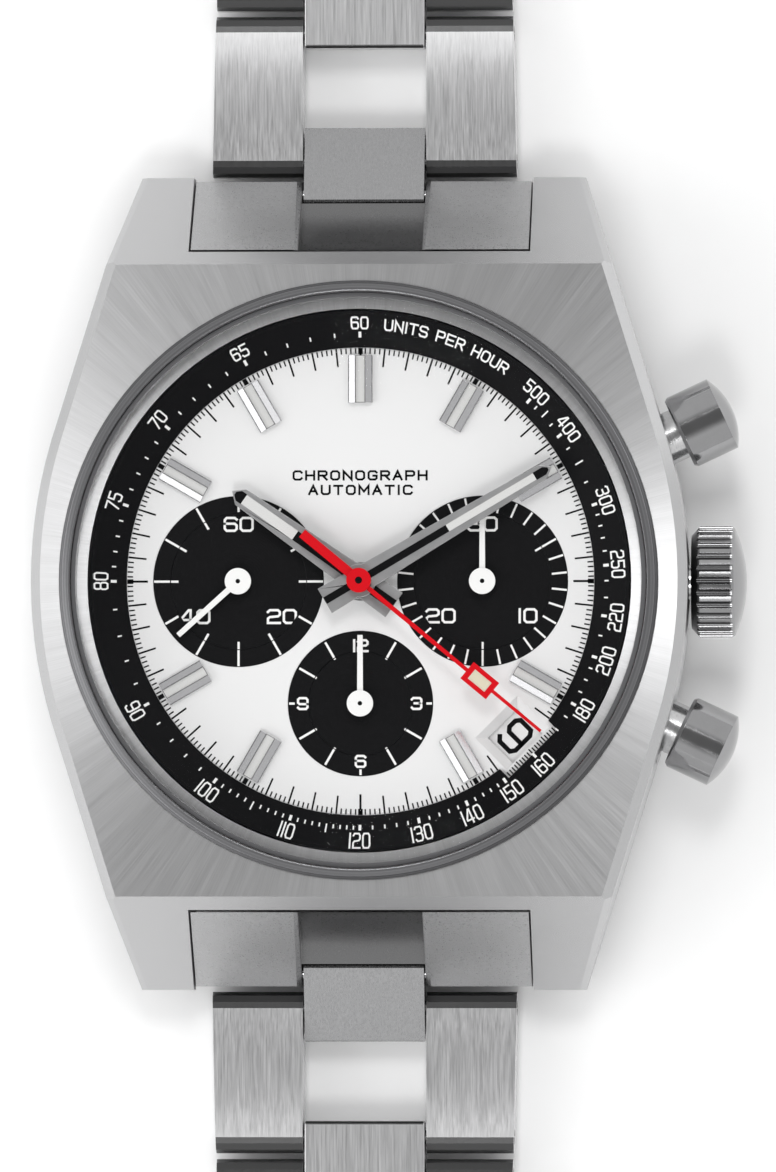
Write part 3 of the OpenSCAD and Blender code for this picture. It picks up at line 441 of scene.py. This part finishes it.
# Width of the rounded edge on each node that shows
BEVELS = {"mid_case": 0.05, "end_links": 0.06, "bezel_ring": 0.04, "crystal": 0.06, "crown": 0.05,
          "start_pusher": 0.06, "reset_pusher": 0.06, "hour_hand": 0.03, "minute_hand": 0.03,
          "hour_markers": 0.02, "chronograph_hand": 0.02, "clasp_cover": 0.08, "clasp_middle_blade": 0.06,
          "clasp_inner_blade": 0.06, "case_back": 0.05, "rotor": 0.05, "train_bridge": 0.05,
          "balance_cock": 0.04, "movement_screws": 0.03}
BEVELS.update({n: 0.08 for n in LINKS if n not in TONGUES})
SMOOTH_DEG = 24.0      # edges flatter than this are shaded smooth
BEVEL_DEG = 28.0       # edges sharper than this get a rounded edge
WELD = 0.0005


def smooth_group(angle):
    """A modifier group that shades curved faces smooth and keeps edges sharper than the angle."""
    tree = bpy.data.node_groups.new("smooth_by_angle", "GeometryNodeTree")
    for side in ("INPUT", "OUTPUT"):
        tree.interface.new_socket("Geometry", in_out=side, socket_type="NodeSocketGeometry")
    start = tree.nodes.new("NodeGroupInput")
    end = tree.nodes.new("NodeGroupOutput")
    edge = tree.nodes.new("GeometryNodeInputMeshEdgeAngle")
    test = tree.nodes.new("FunctionNodeCompare")
    test.data_type = "FLOAT"
    test.operation = "GREATER_THAN"
    test.inputs[1].default_value = math.radians(angle)
    normals = tree.nodes.new("GeometryNodeSetMeshNormal")
    normals.mode = "SHARPNESS"
    tree.links.new(edge.outputs[0], test.inputs[0])
    tree.links.new(start.outputs[0], normals.inputs["Mesh"])
    tree.links.new(test.outputs[0], normals.inputs["Edge Sharpness"])
    tree.links.new(normals.outputs[0], end.inputs[0])
    return tree


SMOOTH = smooth_group(SMOOTH_DEG)


def rounded(obj, width):
    """Joins the faces of a CAD mesh and gives its edges a small rounded bevel."""
    weld = obj.modifiers.new("weld", "WELD")
    weld.merge_threshold = WELD * MM
    obj.modifiers.new("smooth", "NODES").node_group = SMOOTH
    bev = obj.modifiers.new("edge", "BEVEL")
    bev.width = width * MM
    bev.segments = 2
    bev.limit_method = "ANGLE"
    bev.angle_limit = math.radians(BEVEL_DEG)
    bev.harden_normals = True
    bev.use_clamp_overlap = True


for look, names in LOOKS.items():
    for name in names:
        data = NODES[name].data
        data.materials.clear()
        data.materials.append(M[look].mat)
        if name in BEVELS:
            rounded(NODES[name], BEVELS[name])

# ---------------------------------------------------------------- new pieces


class Build:
    """Collects closed strips and solids, then makes one piece that rides on a body."""

    def __init__(self):
        self.verts = []
        self.faces = []

    def prism(self, low, high):
        """A closed solid between two matching outlines."""
        n = len(low)
        base = len(self.verts)
        self.verts += list(low) + list(high)
        self.faces.append([base + i for i in reversed(range(n))])
        self.faces.append([base + n + i for i in range(n)])
        for i in range(n):
            k = (i + 1) % n
            self.faces.append([base + i, base + k, base + n + k, base + n + i])

    def flat(self, outline, z, thick=INK):
        self.prism([(x, y, z) for x, y in outline], [(x, y, z + thick) for x, y in outline])

    def lathe(self, profile, cx=0.0, cy=0.0, steps=128):
        """A closed profile in radius and z, turned about a vertical axis."""
        base = len(self.verts)
        n = len(profile)
        for s in range(steps):
            a = 2 * math.pi * s / steps
            self.verts += [(cx + r * math.sin(a), cy + r * math.cos(a), z) for r, z in profile]
        for s in range(steps):
            here = base + s * n
            there = base + (s + 1) % steps * n
            for i in range(n):
                k = (i + 1) % n
                self.faces.append([here + i, here + k, there + k, there + i])

    def piece(self, name, body, look, smooth=False):
        """Makes the object, with a look from M, on the record's body."""
        mesh = bpy.data.meshes.new(name)
        mesh.from_pydata([Vector(v) * MM for v in self.verts], [], self.faces)
        mesh.validate()
        mesh.polygons.foreach_set("use_smooth", [smooth] * len(mesh.polygons))
        mesh.materials.append(M[look].mat)
        obj = bpy.data.objects.new(name, mesh)
        bpy.context.scene.collection.objects.link(obj)
        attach(obj, body)
        return obj


def polar(deg, r):
    """The point at a radius and an angle clockwise from 12 o'clock."""
    a = math.radians(deg)
    return r * math.sin(a), r * math.cos(a)


# Centre lines of the characters in a unit square
GLYPHS = {
    "0": [[(.18, 0), (.82, 0), (1, .16), (1, .84), (.82, 1), (.18, 1), (0, .84), (0, .16), (.18, 0)]],
    "1": [[(.5, 0), (.5, 1)]],
    "2": [[(0, .86), (.16, 1), (.84, 1), (1, .86), (1, .64), (.84, .52), (.16, .46), (0, .34), (0, 0),
           (1, 0)]],
    "3": [[(0, .88), (.14, 1), (.84, 1), (1, .87), (1, .64), (.84, .52), (.3, .52)],
          [(.84, .52), (1, .4), (1, .14), (.84, 0), (.14, 0), (0, .12)]],
    "4": [[(.76, 0), (.76, 1), (.6, 1), (0, .34), (0, .24), (1, .24)]],
    "5": [[(.96, 1), (.04, 1), (.04, .56), (.84, .56), (1, .44), (1, .14), (.84, 0), (.14, 0), (0, .12)]],
    "6": [[(1, .88), (.84, 1), (.16, 1), (0, .84), (0, .16), (.16, 0), (.84, 0), (1, .14), (1, .42),
           (.84, .55), (0, .55)]],
    "7": [[(0, 1), (1, 1), (1, .92), (.36, 0)]],
    "8": [[(.16, .53), (.05, .64), (.05, .88), (.2, 1), (.8, 1), (.95, .88), (.95, .64), (.84, .53),
           (1, .4), (1, .14), (.84, 0), (.16, 0), (0, .14), (0, .4), (.16, .53), (.84, .53)]],
    "9": [[(0, .12), (.16, 0), (.84, 0), (1, .16), (1, .84), (.84, 1), (.16, 1), (0, .86), (0, .58),
           (.16, .45), (1, .45)]],
    "A": [[(0, 0), (.5, 1), (1, 0)], [(.17, .34), (.83, .34)]],
    "C": [[(1, .84), (.82, 1), (.2, 1), (0, .82), (0, .18), (.2, 0), (.82, 0), (1, .16)]],
    "E": [[(1, 1), (0, 1), (0, 0), (1, 0)], [(0, .5), (.86, .5)]],
    "G": [[(1, .84), (.82, 1), (.2, 1), (0, .82), (0, .18), (.2, 0), (.82, 0), (1, .16), (1, .46),
           (.6, .46)]],
    "H": [[(0, 0), (0, 1)], [(1, 0), (1, 1)], [(0, .5), (1, .5)]],
    "I": [[(.5, 0), (.5, 1)]],
    "M": [[(0, 0), (0, 1), (.5, .3), (1, 1), (1, 0)]],
    "N": [[(0, 0), (0, 1), (1, 0), (1, 1)]],
    "O": [[(.22, 0), (.78, 0), (1, .2), (1, .8), (.78, 1), (.22, 1), (0, .8), (0, .2), (.22, 0)]],
    "P": [[(0, 0), (0, 1), (.82, 1), (1, .86), (1, .58), (.82, .45), (0, .45)]],
    "R": [[(0, 0), (0, 1), (.82, 1), (1, .86), (1, .62), (.82, .48), (0, .48)], [(.5, .48), (1, 0)]],
    "S": [[(1, .86), (.84, 1), (.16, 1), (0, .86), (0, .64), (.16, .53), (.84, .47), (1, .36), (1, .14),
           (.84, 0), (.16, 0), (0, .14)]],
    "T": [[(0, 1), (1, 1)], [(.5, 1), (.5, 0)]],
    "U": [[(0, 1), (0, .18), (.2, 0), (.8, 0), (1, .18), (1, 1)]],
}
# Widths that differ, as parts of a normal character's width
WIDTHS = {"1": 0.12, "I": 0.12, " ": 0.55, "M": 1.15}
SHARPEST_MITRE = 0.35


def strokes(text, height, width, gap):
    """The centre lines of a line of text, centred on the origin."""
    lines = []
    x = 0.0
    for ch in text:
        w = width * WIDTHS.get(ch, 1.0)
        for line in GLYPHS.get(ch, []):
            lines.append([(x + u * w, v * height) for u, v in line])
        x += w + gap
    shift = (x - gap) / 2
    return [[(u - shift, v - height / 2) for u, v in line] for line in lines]


def outline(line, width):
    """The two edges of a stroke along a line, mitred at its corners."""
    left, right = [], []
    closed = line[0] == line[-1]
    pts = line[:-1] if closed else line
    n = len(pts)
    h = width / 2
    for i, (x, y) in enumerate(pts):
        prev = pts[i - 1] if i or closed else None
        nxt = pts[(i + 1) % n] if i < n - 1 or closed else None
        d1 = unit(x - prev[0], y - prev[1]) if prev else None
        d2 = unit(nxt[0] - x, nxt[1] - y) if nxt else None
        d1, d2 = d1 or d2, d2 or d1
        mx, my = -(d1[1] + d2[1]), d1[0] + d2[0]
        scale = h / max(SHARPEST_MITRE, math.hypot(mx, my) / 2) / math.hypot(mx, my)
        ex = -d2[0] * h * (prev is None) + d1[0] * h * (nxt is None)
        ey = -d2[1] * h * (prev is None) + d1[1] * h * (nxt is None)
        left.append((x + mx * scale + ex, y + my * scale + ey))
        right.append((x - mx * scale + ex, y - my * scale + ey))
    if closed:
        left.append(left[0])
        right.append(right[0])
    return left, right


def unit(x, y):
    d = math.hypot(x, y)
    return x / d, y / d


def write(build, text, height, width, gap, weight, place):
    """Draws text as thin closed strips; place turns a point of the text into one in space."""
    for line in strokes(text, height, width, gap):
        left, right = outline(line, weight)
        for i in range(len(left) - 1):
            quad = [left[i], right[i], right[i + 1], left[i + 1]]
            low = [place(u, v, 0.0) for u, v in quad]
            build.prism(low, [place(u, v, INK) for u, v in quad])


def flat_text(cx, cy, z, turn=0.0):
    """Places text on a level surface, turned clockwise about its centre."""
    c, s = math.cos(math.radians(turn)), math.sin(math.radians(turn))
    return lambda u, v, up: (cx + u * c + v * s, cy - u * s + v * c, z + up)


# Radii and heights of the sloping flange's inner and outer edges
FLANGE_IN, FLANGE_OUT = 13.28, 15.4
FLANGE_LOW, FLANGE_HIGH = 7.75, 9.15


def flange_z(r):
    return FLANGE_LOW + (r - FLANGE_IN) * (FLANGE_HIGH - FLANGE_LOW) / (FLANGE_OUT - FLANGE_IN)


def flange_text(deg, r, flipped=False):
    """Places text along the sloping flange, with its tops outwards, or inwards if flipped."""
    sign = -1.0 if flipped else 1.0

    def place(u, v, up):
        rr = r + sign * v
        x, y = polar(deg + sign * math.degrees(u / r), rr)
        return x, y, flange_z(rr) + up
    return place


def tick(build, deg, r0, r1, width, zfun, cx=0.0, cy=0.0):
    """A radial bar lying on a surface whose height is a function of the radius."""
    x0, y0 = polar(deg, r0)
    x1, y1 = polar(deg, r1)
    dx, dy = unit(x1 - x0, y1 - y0)
    h = width / 2
    quad = [(x0 - dy * h, y0 + dx * h, zfun(r0)), (x0 + dy * h, y0 - dx * h, zfun(r0)),
            (x1 + dy * h, y1 - dx * h, zfun(r1)), (x1 - dy * h, y1 + dx * h, zfun(r1))]
    low = [(cx + x, cy + y, z) for x, y, z in quad]
    build.prism(low, [(x, y, z + INK) for x, y, z in low])


# Minute track: five strokes to a second, left out at the date window
STROKES = 300
TRACK_OUT = 13.33
DATE_HALF_DEG = 8.6
track = Build()
for i in range(STROKES):
    deg = i * 360 / STROKES
    second, hour_mark = i % 5 == 0, i % 25 == 0
    quarter = i % 75 == 0
    if abs(deg - DATE_DEG) < DATE_HALF_DEG:
        continue
    if hour_mark:
        tick(track, deg, 12.98, TRACK_OUT, 0.26, lambda r: DIAL_PRINT_Z)
    if second and (quarter or not hour_mark):
        start, width = (12.15, 0.12) if quarter else (12.3, 0.1)
        tick(track, deg, start, TRACK_OUT, width, lambda r: DIAL_PRINT_Z)
    elif not second:
        tick(track, deg, 13.0, TRACK_OUT - 0.01, 0.08, lambda r: DIAL_PRINT_Z)
# Short parallel strokes outside the date window
ux, uy = polar(DATE_DEG, 1.0)
for i in range(-9, 10):
    w = i * 0.2
    start, end = 13.62 if i % 5 else 13.56, 13.92
    quad = [(start, w - 0.04), (start, w + 0.04), (end, w + 0.04), (end, w - 0.04)]
    track.flat([(ux * a + uy * b, uy * a - ux * b) for a, b in quad][::-1], DIAL_PRINT_Z)
track.piece("minute_track_print", "case", "black_ink")

words = Build()
write(words, "CHRONOGRAPH", 0.47, 0.458, 0.256, 0.118, flat_text(-0.02, 6.05, DIAL_PRINT_Z))
write(words, "AUTOMATIC", 0.47, 0.455, 0.262, 0.118, flat_text(0.0, 5.22, DIAL_PRINT_Z))
words.piece("dial_words_print", "case", "black_ink")

# Small dials: a thin black skin over the rim, the step and the middle of each
SKIN_LOW, SKIN_HIGH = 0.001, 0.006
SKIN_HOLE = 0.5
faces = Build()
for cx, cy, outer, inner in SUBS:
    edge = outer - 0.02
    faces.lathe([(SKIN_HOLE, SUB_FLOOR_Z + SKIN_LOW), (inner - 0.05, SUB_FLOOR_Z + SKIN_LOW),
                 (inner - 0.05, SUB_Z + SKIN_LOW - 0.05), (inner + 0.02, SUB_Z + SKIN_LOW),
                 (edge, SUB_Z + SKIN_LOW), (edge, SUB_Z + SKIN_HIGH), (inner, SUB_Z + SKIN_HIGH),
                 (inner - 0.035, SUB_FLOOR_Z + 0.06), (inner - 0.06, SUB_FLOOR_Z + SKIN_HIGH),
                 (SKIN_HOLE, SUB_FLOOR_Z + SKIN_HIGH)], cx, cy)
faces.piece("small_dial_faces", "case", "recess")

marks = Build()


def sub_tick(sub, deg, r0, r1, width):
    """A stroke on a small dial, broken where it crosses the step."""
    cx, cy, _, inner = SUBS[sub]
    if r0 < inner:
        tick(marks, deg, r0, min(r1, inner - 0.05), width, lambda r: SUB_FLOOR_PRINT_Z, cx, cy)
    if r1 > inner:
        tick(marks, deg, max(r0, inner), r1, width, lambda r: SUB_PRINT_Z, cx, cy)


def sub_numbers(sub, places, z, height, width, gap, weight):
    cx, cy, _, _ = SUBS[sub]
    for text, dx, dy in places:
        write(marks, text, height, width, gap, weight, flat_text(cx + dx, cy + dy, z))


SECONDS, MINUTES, HOURS = range(3)
BIG_DIAL_OUT = 4.83
for i in range(12):
    sub_tick(SECONDS, i * 30, 3.97 if i % 4 == 0 else 3.44, BIG_DIAL_OUT, 0.13)
sub_numbers(SECONDS, (("60", 0, 3.27), ("20", 2.47, -2.0), ("40", -2.47, -2.0)),
            SUB_FLOOR_PRINT_Z, 0.73, 0.68, 0.23, 0.135)
for i in range(30):
    sub_tick(MINUTES, i * 12, 3.46 if i % 5 == 0 and i % 10 else 3.97, BIG_DIAL_OUT, 0.115)
sub_numbers(MINUTES, (("30", 0, 3.27), ("10", 2.57, -1.97), ("20", -2.4, -1.97)),
            SUB_FLOOR_PRINT_Z, 0.73, 0.68, 0.23, 0.135)
for i in range(1, 12):
    start, end = (2.9, 4.03) if i % 3 else (3.76, 4.08)
    sub_tick(HOURS, i * 30, start, end, 0.13)
sub_numbers(HOURS, (("12", 0, 3.3), ("3", 3.2, 0), ("6", 0, -3.3), ("9", -3.3, 0)),
            SUB_PRINT_Z, 0.62, 0.54, 0.19, 0.13)
marks.piece("small_dial_print", "case", "white_ink")

# Tachymeter scale on the sloping flange
scale = Build()
VALUES = (60, 65, 70, 75, 80, 90, 100, 110, 120, 130, 140, 150, 160, 180, 200, 220, 250, 300, 400, 500)
TICK_IN, TICK_OUT = 13.9, 14.2


def speed_deg(v):
    """Where the chronograph hand points when one unit has taken 3600 / v seconds."""
    return (21600.0 / v) % 360.0


for v in VALUES:
    deg = speed_deg(v)
    flipped = 92 < deg < 265
    size = 0.62 + 0.2 * (1 - math.cos(math.radians(deg))) / 2
    tick(scale, deg, TICK_IN, TICK_OUT + 0.02, 0.16, lambda r: flange_z(r) + FLANGE_LIFT)
    write(scale, str(v), size, 0.38, 0.17, 0.098, flange_text(deg, 14.4 + size / 2, flipped))


STEPS = ((60, 80, 1), (80, 100, 2), (100, 120, 1), (120, 150, 2), (150, 200, 5), (200, 250, 10),
         (250, 300, 10), (300, 400, 25), (400, 500, 25))
LONGER = (105, 115, 350, 450)
NOTCH_HALF_DEG = 7.4
for low, high, step in STEPS:
    for v in range(low + step, high, step):
        deg = speed_deg(v)
        if v in VALUES or abs(deg - DATE_DEG) < NOTCH_HALF_DEG:
            continue
        end = TICK_OUT + (0.25 if v in LONGER else -0.02)
        tick(scale, deg, TICK_IN + 0.05, end, 0.085, lambda r: flange_z(r) + FLANGE_LIFT)
write(scale, "UNITS PER HOUR", 0.55, 0.42, 0.18, 0.1, flange_text(20.3, 14.66))
scale.piece("tachymeter_print", "case", "white_ink")


def bar(half, y0, y1):
    return [(-half, y0), (half, y0), (half, y1), (-half, y1)]


# Hour markers: two rails that slope down outwards from a foot, with a strip of pale paint on it
MARKER_HOURS = (1, 2, 4, 5, 7, 8, 10, 11, 12)
MARKER_IN, MARKER_OUT = 10.2, 12.9
FOOT_Z = DIAL_Z + 0.001
FOOT_HALF, FOOT_T = 0.26, 0.36
RAIL = ((0.69, FOOT_Z), (0.69, 7.84), (0.64, 7.88), (0.30, 8.09), (FOOT_HALF, 8.09), (FOOT_HALF, FOOT_Z))
markers = Build()
strips = Build()
for h in MARKER_HOURS:
    ux, uy = polar(h * 30, 1.0)
    for side in (1, -1):
        rail = [(side * w, z) for w, z in (RAIL if side > 0 else RAIL[::-1])]
        ends = [[(r * ux + w * uy, r * uy - w * ux, z) for w, z in rail] for r in (MARKER_OUT, MARKER_IN)]
        markers.prism(*ends)
    foot = bar(FOOT_HALF, MARKER_IN, MARKER_OUT)
    markers.flat([(r * ux + w * uy, r * uy - w * ux) for w, r in foot][::-1], FOOT_Z, FOOT_T)
    tick(strips, h * 30, MARKER_IN + 0.03, MARKER_OUT - 0.03, 0.5, lambda r: FOOT_Z + FOOT_T + 0.009)
marker_piece = markers.piece("marker_rails", "case", "rail")
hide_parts("hour_markers")
strips.piece("marker_strips", "case", "lume")


# Inlays on the hands
def hand_piece(name, body, look, shapes, z, thick):
    """Flat shapes drawn on a hand that points to 12 o'clock, then turned with it."""
    build = Build()
    turn = math.radians(HAND_DEG[body])
    c, s = math.cos(turn), math.sin(turn)
    for shape in shapes:
        build.flat([(x * c + y * s, y * c - x * s) for x, y in shape], z, thick)
    build.piece(name, body, look)


def tip(half, y0, y1, top):
    """A bar whose far end narrows to a blunt point."""
    return [(-half, y0), (half, y0), (half, y1), (half * 0.3, top), (-half * 0.3, top), (-half, y1)]


# Body, top of the blade, half width, start of the black part, start and end of the pale part, point, tail
HAND_INLAYS = (("hour_hand", 8.655, 0.3, 0.85, 4.5, 8.08, 8.68, 2.38),
               ("minute_hand", 9.155, 0.21, 0.6, 5.85, 11.62, 12.5, 2.26))
for body, z, half, start, split, end, top, tail in HAND_INLAYS:
    black = [bar(half, start, split), bar(half, -tail, -start), tip(half + 0.03, end, top - 0.25, top)]
    hand_piece(body + "_black_inlay", body, "black_ink", black, z, 0.02)
    hand_piece(body + "_pale_inlay", body, "lume", [bar(half, split, end)], z, 0.035)
hand_piece("chronograph_hand_inlay", "chronograph_hand", "cream", [bar(0.32, 8.36, 9.54)],
           9.47, 0.15)


def pin(body, x, y, z0, z1, r):
    """The dark end of the arbor that a hand sits on."""
    build = Build()
    axis, bevel = 0.0005, 0.01
    build.lathe([(axis, z0), (r, z0), (r, z1 - bevel), (r - bevel, z1), (axis, z1)], x, y, 48)
    build.piece(body + "_pin", body, "black_ink", True)


pin("chronograph_hand", 0, 0, 9.98, 10.02, 0.2)
for body, (cx, cy, _, _) in zip(("running_seconds_hand", "minute_counter_hand", "hour_counter_hand"), SUBS):
    pin(body, cx, cy, 8.28, 8.31, 0.13)

# Numbers round the date disc
SHOWN_DATE, DAYS = 9, 31
DATE_R, DATE_Z = 12.46, 6.953
dates = Build()
for d in range(1, DAYS + 1):
    deg = DATE_DEG + (SHOWN_DATE - d) * 360.0 / DAYS
    px, py = polar(deg, DATE_R)
    width = 1.2 if d < 10 else 0.72
    write(dates, str(d), 1.7, width, 0.34, 0.27, flat_text(px, py, DATE_Z, deg - 90.0))
dates.piece("date_numbers", "date_disc", "black_ink")

# Jewels in the movement: one in the balance cock, the others in the bridge and plate
COCK_Z, BRIDGE_Z = 1.95, 2.3
JEWELS = ((-5.7, 5.9, COCK_Z), (3.4, -3.6, BRIDGE_Z), (-3.2, -3.6, BRIDGE_Z), (0.4, -8.9, BRIDGE_Z),
          (7.6, -1.0, BRIDGE_Z), (-6.3, -5.6, BRIDGE_Z), (-4.6, 0.3, BRIDGE_Z), (0.2, 4.6, BRIDGE_Z))
jewels = Build()
for x, y, z in JEWELS:
    back, low = z + 0.02, z - 0.05
    jewels.lathe([(0.16, back), (0.16, z - 0.03), (0.24, low), (0.5, low), (0.58, back)], x, y, 40)
jewels.piece("movement_jewels", "case", "ruby", True)

# ---------------------------------------------------------------- stage, lights and camera

FLOOR_REACH = 3.0      # metres
floor_mesh = bpy.data.meshes.new("floor")
corners = [(x * FLOOR_REACH, y * FLOOR_REACH, 0) for x, y in ((-1, -1), (1, -1), (1, 1), (-1, 1))]
floor_mesh.from_pydata(corners, [], [(0, 1, 2, 3)])
floor_mesh.materials.append(M["floor"].mat)
floor = bpy.data.objects.new("floor", floor_mesh)
bpy.context.scene.collection.objects.link(floor)
floor.location.z = -0.2 * MM

LIGHT_DISTANCE = 0.7   # metres


def area_light(name, direction, size, power):
    """A soft light that faces the origin; size is across and along, in metres, and power is in watts."""
    data = bpy.data.lights.new(name, "AREA")
    data.shape = "RECTANGLE"
    data.size, data.size_y = size
    data.energy = power
    obj = bpy.data.objects.new(name, data)
    way = Vector(direction).normalized()
    obj.location = way * LIGHT_DISTANCE
    obj.rotation_euler = way.to_track_quat("Z", "Y").to_euler()
    bpy.context.scene.collection.objects.link(obj)


area_light("soft_left", (-1.0, -0.36, 0.6), (1.0, 0.36), 1.9)
area_light("soft_right", (1.0, 0.7, 0.45), (0.4, 0.3), 0.4)
area_light("strip_top", (0.03, 0.48, 1.0), (0.15, 0.18), 0.9)
area_light("strip_bottom", (0.0, -0.48, 1.0), (0.15, 0.18), 0.9)

# White surroundings that get darker overhead
world = bpy.data.worlds.new("studio")
bpy.context.scene.world = world
world.use_nodes = True
sky = world.node_tree
direction = sky.nodes.new("ShaderNodeTexCoord")
parts = sky.nodes.new("ShaderNodeSeparateXYZ")
ramp = sky.nodes.new("ShaderNodeMapRange")
ramp.interpolation_type = "SMOOTHSTEP"
for socket, value in (("From Min", 0.80), ("From Max", 0.985), ("To Min", 0.86), ("To Max", 0.24)):
    ramp.inputs[socket].default_value = value
sky.links.new(direction.outputs["Generated"], parts.inputs[0])
sky.links.new(parts.outputs["Z"], ramp.inputs["Value"])
sky.links.new(ramp.outputs[0], sky.nodes["Background"].inputs["Strength"])
sky.nodes["Background"].inputs["Color"].default_value = (1.0, 1.0, 1.0, 1.0)

# The camera looks down at the dial, turned a little towards +X and -Y as the photograph's is
AIM = Vector((1.5, -0.22, 6.0)) * MM
DISTANCE = 750.0 * MM
FIELD_HEIGHT = 67.0 * MM
SENSOR_HEIGHT = 24.0
TILT_X, TILT_Y = 2.6, -1.7
back = Vector((math.tan(math.radians(TILT_X)), math.tan(math.radians(TILT_Y)), 1.0)).normalized()
right = Vector((0.0, 1.0, 0.0)).cross(back).normalized()
up = back.cross(right)
camera_data = bpy.data.cameras.new("camera")
camera_data.sensor_fit = "VERTICAL"
camera_data.sensor_height = SENSOR_HEIGHT
camera_data.lens = SENSOR_HEIGHT * DISTANCE / FIELD_HEIGHT
camera_data.clip_start = 0.01
camera_data.clip_end = 20.0
camera = bpy.data.objects.new("camera", camera_data)
camera.location = AIM + back * DISTANCE
camera.rotation_euler = Matrix((right, up, back)).transposed().to_euler()
bpy.context.scene.collection.objects.link(camera)
bpy.context.scene.camera = camera
bpy.context.scene.view_settings.view_transform = "Standard"
